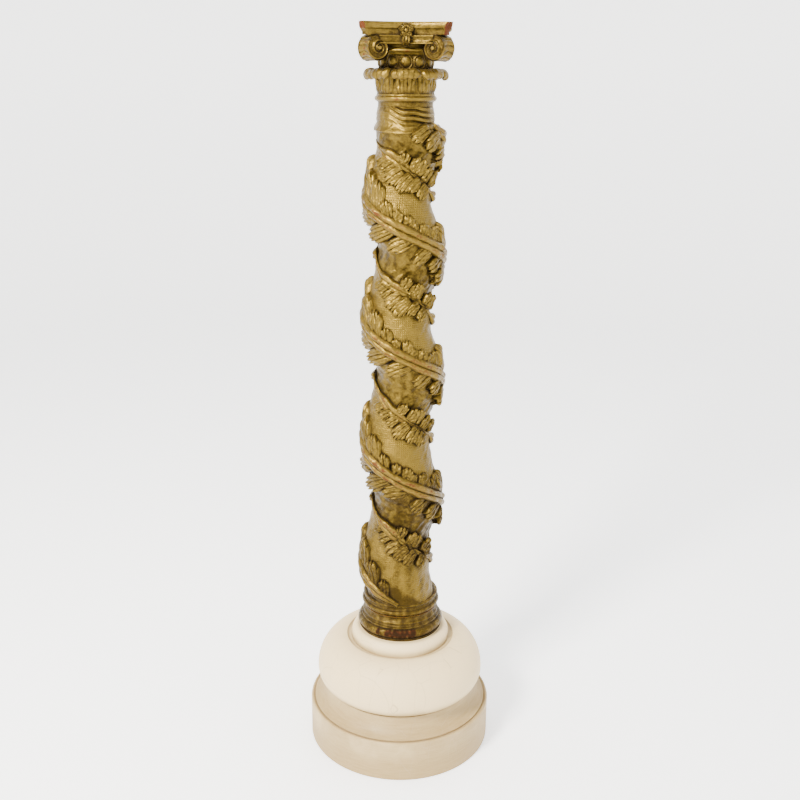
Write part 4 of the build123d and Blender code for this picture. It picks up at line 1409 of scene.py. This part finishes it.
class CANDLESTICK_OT_abacus(bpy.types.Operator):
    """Carves the moulded slab with its worn corner and the four rosettes on its sides"""

    bl_idname = "candlestick.abacus"
    bl_label = "Abacus and fleurons"

    def execute(self, context):
        sizes = context.scene.capital_settings
        foot, top = foot_of("abacus"), head_of("abacus")
        half = reach_of("abacus")
        edge = abacus_edge(1.0, 44)
        height = top - foot
        steps = np.concatenate([
            line((half - 9 * MM, 0), (half - 9 * MM, 3 * MM), 3),
            bow((half - 9 * MM, 3 * MM), (half - 3 * MM, 11 * MM), -2 * MM, 9),
            line((half - 3 * MM, 11 * MM), (half - 1 * MM, 12 * MM), 2),
            oval((half - 2.2 * MM, 16.5 * MM), (2.2 * MM, 4.5 * MM), -80, 70, 10),
            line((half - 2.5 * MM, height - 1.2 * MM), (half - 3.4 * MM, height), 3),
        ])

        def at_level(outline, z):
            return np.concatenate([outline, np.full((len(outline), 1), z)], 1)

        rings = [at_level(edge * width, foot + z) for width, z in steps]
        angle = np.arctan2(edge[:, 1], edge[:, 0])
        circle = np.stack([np.cos(angle), np.sin(angle)], -1)
        flange, bore = 32.1 * MM, 21.6 * MM
        seat = top - 2.5 * MM
        for t in np.linspace(0, 1, 7)[1:]:
            rings.append(at_level(edge * (half - 3.4 * MM) * (1 - t) + circle * flange * t, top))
        for radius, z in ((flange, seat), (bore, seat), (bore, foot)):
            rings.append(at_level(circle * radius, z))
        for t in (0.35, 0.7):
            rings.append(at_level(circle * bore * (1 - t) + edge * (half - 9 * MM) * t, foot))
        rings = np.stack(rings)
        rng = np.random.default_rng(53)
        rough = waves(rng, 10, 8, 60)
        around = np.arctan2(rings[..., 1], rings[..., 0])
        outer = np.hypot(rings[..., 0], rings[..., 1]) > 40 * MM
        nick = 0.25 * MM * rough(around, rings[..., 2] * 4) * outer
        rings[..., 0] += nick * np.cos(around) - 0.4 * MM * np.sign(rings[..., 0]) * outer
        rings[..., 1] += nick * np.sin(around) - 0.4 * MM * np.sign(rings[..., 1]) * outer
        worn = np.zeros(rings.shape[:2])
        for side, amount in ((1, 1.0), (-1, 0.6)):
            reach = (side * rings[..., 0] - rings[..., 1]) / math.sqrt(2)
            limit = (half * 0.95) * math.sqrt(2) - sizes.chip * amount
            limit = limit - (top - rings[..., 2]) * 0.35 * amount
            limit = limit + 0.8 * MM * rough(around * 2, rings[..., 2] * 9)
            over = np.maximum(reach - limit, 0)
            rings[..., 0] -= side * over / math.sqrt(2)
            rings[..., 1] += over / math.sqrt(2)
            worn = np.maximum(worn, soft_step((reach - limit + 3 * MM) / (9 * MM)) * amount)
        level = (rings[..., 2] - foot) / height
        relief = np.clip(0.25 + 0.5 * level + 0.15 * rough(around, rings[..., 2]), 0, 1)
        Carving().ring(rings, relief, 0, np.clip(worn, 0, 1)).build("gilt_capital", "abacus", crease=40)
        for i in range(4):
            self.fleuron(i, top)
        return {"FINISHED"}

    @staticmethod
    def fleuron(i, top):
        """A rosette of five cupped petals over a hanging leaf, on one side's middle."""
        angle = FRONT + TAU * i / 4
        outward = np.array([math.cos(angle), math.sin(angle), 0])
        right = np.array([-math.sin(angle), math.cos(angle), 0])
        up = np.array([0, 0, 1.0])
        back = -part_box("fleuron_1")[1].y - 2 * MM
        centre = top - 15 * MM

        def place(around, rise, proud):
            parts = np.broadcast_arrays(around, rise, proud)
            around, rise, proud = (part[..., None] for part in parts)
            return around * right + (centre + rise) * up + (back + proud) * outward

        carving = Carving()
        for k in range(5):
            lean = math.pi / 2 + TAU * k / 5
            carving.pillow(*leaf(
                place, (15 * MM, 13 * MM), lean, 0, 2, lift=5 * MM, start=0.3, cup=1.5 * MM,
                flute=1.6 * MM, wall=3 * MM, bends=((0.6, -0.3), (0.4, 1.0)), notch=0.1,
                drop=0.5, rows=14,
            ))
        carving.pillow(*leaf(
            place, (28 * MM, 18 * MM), -math.pi / 2, 0, 3, lift=3 * MM, flute=2 * MM, wall=3 * MM,
            bends=((0.6, 0.1), (0.4, 1.6)), notch=0.2, rows=18,
        ))
        a = np.arange(24)[None, :] * TAU / 24
        t = np.linspace(0.04, 1, 10)[:, None] * math.pi / 2
        bud = 4.4 * MM * (1 + 0.1 * np.cos(6 * a))
        around, rise = bud * np.sin(t) * np.cos(a), bud * np.sin(t) * np.sin(a)
        carving.tube(place(around, rise, 4 * MM + 5 * MM * np.cos(t)), 0.8)
        node = f"fleuron_{i + 1}"
        carving.build("gilt_capital", node)


# ---------------------------------------------------------------- fittings and studio


class CANDLESTICK_OT_fittings(bpy.types.Operator):
    """Gives the cup, the screws, the tie rod and the boards their own finishes"""

    bl_idname = "candlestick.fittings"
    bl_label = "Fittings"

    def execute(self, context):
        slots = {entry["node"]: entry["material_slot"] for entry in frame["record"]["subparts"]}
        for name, node in frame["nodes"].items():
            node.data.materials.clear()
            node.data.materials.append(finish_of(slots[name]))
        return {"FINISHED"}


class CANDLESTICK_OT_studio(bpy.types.Operator):
    """Sets up the pale floor, the soft lights and the camera"""

    bl_idname = "candlestick.studio"
    bl_label = "Studio"

    def execute(self, context):
        sizes = context.scene.studio_settings
        self.backdrop(sizes)
        self.lights(context)
        self.camera(context, sizes)
        return {"FINISHED"}

    @staticmethod
    def backdrop(sizes):
        """A round floor that sweeps up all about on a quarter circle to a low wall."""
        flat, curve, rise = 4.2, 1.6, 5.5
        path = np.concatenate([
            line((0.02, 0), (flat, 0), 8),
            oval((flat, curve), (curve, curve), -90, 0, 16),
            line((flat + curve, curve), (flat + curve, rise), 4),
            [(flat + curve, rise)],
        ])
        columns = 96
        points = turned(path, columns).reshape(-1, 3)
        grid = np.arange(len(points)).reshape(-1, columns)
        wrapped = np.concatenate([grid, grid[:, :1]], axis=1)
        mesh = bpy.data.meshes.new("studio_floor")
        faces = Carving._cells(wrapped[:, ::-1]).tolist() + [grid[0].tolist()]
        mesh.from_pydata(points.tolist(), [], faces)
        mesh.polygons.foreach_set("use_smooth", np.ones(len(mesh.polygons), bool))
        s = Shader("Studio floor")
        tone = s.blend(s.noise(2, 2), sizes.floor, [c * 0.99 for c in sizes.floor])
        glow = {"Roughness": 0.9, "Specular IOR Level": 0.1, "Emission Strength": sizes.glow}
        mesh.materials.append(s.finish(glow, Base_Color=tone, Emission_Color=tone))
        floor = bpy.data.objects.new("studio_floor", mesh)
        bpy.context.scene.collection.objects.link(floor)

    @staticmethod
    def lights(context):
        """A large soft key from the upper left, a weaker fill, and a pale surround."""
        setup = (
            ("key", (-1.7, -2.3, 3.0), (0, 0, 0.8), 0.8, 510),
            ("fill", (2.8, -1.6, 1.5), (0, 0, 0.8), 1.2, 24),
            ("top", (0.2, 0.6, 4.2), (0, 0.4, 0), 3.0, 230),
        )
        for name, place, aim, size, power in setup:
            lamp = bpy.data.lights.new(name, "AREA")
            lamp.shape = "SQUARE"
            lamp.size = size
            lamp.energy = power
            lamp.color = (1.0, 0.965, 0.89) if name == "key" else (1.0, 1.0, 1.0)
            holder = bpy.data.objects.new(name, lamp)
            direction = Vector(aim) - Vector(place)
            facing = direction.to_track_quat("-Z", "Y").to_matrix().to_4x4()
            holder.matrix_world = Matrix.Translation(place) @ facing
            context.scene.collection.objects.link(holder)
        world = bpy.data.worlds.new("Surround")
        world.use_nodes = True
        background = world.node_tree.nodes["Background"]
        background.inputs["Color"].default_value = (1.0, 0.99, 0.97, 1)
        background.inputs["Strength"].default_value = 0.3
        context.scene.world = world

    @staticmethod
    def camera(context, sizes):
        """A camera at eye level, tipped down at the column."""
        ahead = Vector((
            math.sin(sizes.yaw) * math.cos(sizes.pitch),
            math.cos(sizes.yaw) * math.cos(sizes.pitch),
            -math.sin(sizes.pitch),
        ))
        right = ahead.cross(Vector((0, 0, 1))).normalized()
        above = right.cross(ahead)
        turned_right = right * math.cos(sizes.roll) + above * math.sin(sizes.roll)
        turned_up = above * math.cos(sizes.roll) - right * math.sin(sizes.roll)
        pose = Matrix((turned_right, turned_up, -ahead)).transposed().to_4x4()
        data = bpy.data.cameras.new("Camera")
        data.lens = sizes.lens
        data.sensor_width = 36
        camera = bpy.data.objects.new("Camera", data)
        camera.matrix_world = Matrix.Translation((0, -sizes.distance, sizes.eye_level)) @ pose
        context.scene.collection.objects.link(camera)
        context.scene.camera = camera


# ---------------------------------------------------------------- add-on


OPERATORS = (
    CANDLESTICK_OT_fittings,
    CANDLESTICK_OT_plinth,
    CANDLESTICK_OT_base,
    CANDLESTICK_OT_shaft,
    CANDLESTICK_OT_stem,
    CANDLESTICK_OT_upper_leaves,
    CANDLESTICK_OT_lower_leaves,
    CANDLESTICK_OT_groove_vine,
    CANDLESTICK_OT_neck,
    CANDLESTICK_OT_bell,
    CANDLESTICK_OT_volutes,
    CANDLESTICK_OT_abacus,
    CANDLESTICK_OT_studio,
)

SETTINGS = {
    "plinth_settings": PlinthSettings,
    "twist_settings": TwistSettings,
    "carving_settings": CarvingSettings,
    "capital_settings": CapitalSettings,
    "finish_settings": FinishSettings,
    "studio_settings": StudioSettings,
}


class CANDLESTICK_PT_panel(bpy.types.Panel):
    """Lists the pieces and their settings"""

    bl_idname = "CANDLESTICK_PT_panel"
    bl_label = "Altar Candlestick"
    bl_space_type = "VIEW_3D"
    bl_region_type = "UI"
    bl_category = "Candlestick"

    def draw(self, context):
        for operator in OPERATORS:
            self.layout.operator(operator.bl_idname)
        for name, group in SETTINGS.items():
            box = self.layout.box()
            settings = getattr(context.scene, name)
            for key in group.__annotations__:
                box.prop(settings, key)


def register():
    for group in SETTINGS.values():
        bpy.utils.register_class(group)
    for name, group in SETTINGS.items():
        setattr(bpy.types.Scene, name, PointerProperty(type=group))
    for operator in OPERATORS:
        bpy.utils.register_class(operator)
    bpy.utils.register_class(CANDLESTICK_PT_panel)


def unregister():
    bpy.utils.unregister_class(CANDLESTICK_PT_panel)
    for operator in reversed(OPERATORS):
        bpy.utils.unregister_class(operator)
    for name, group in reversed(SETTINGS.items()):
        delattr(bpy.types.Scene, name)
        bpy.utils.unregister_class(group)


def main():
    """Builds the whole candlestick."""
    register()
    for operator in OPERATORS:
        area, name = operator.bl_idname.split(".")
        getattr(getattr(bpy.ops, area), name)()


if __name__ == "__main__":
    main()
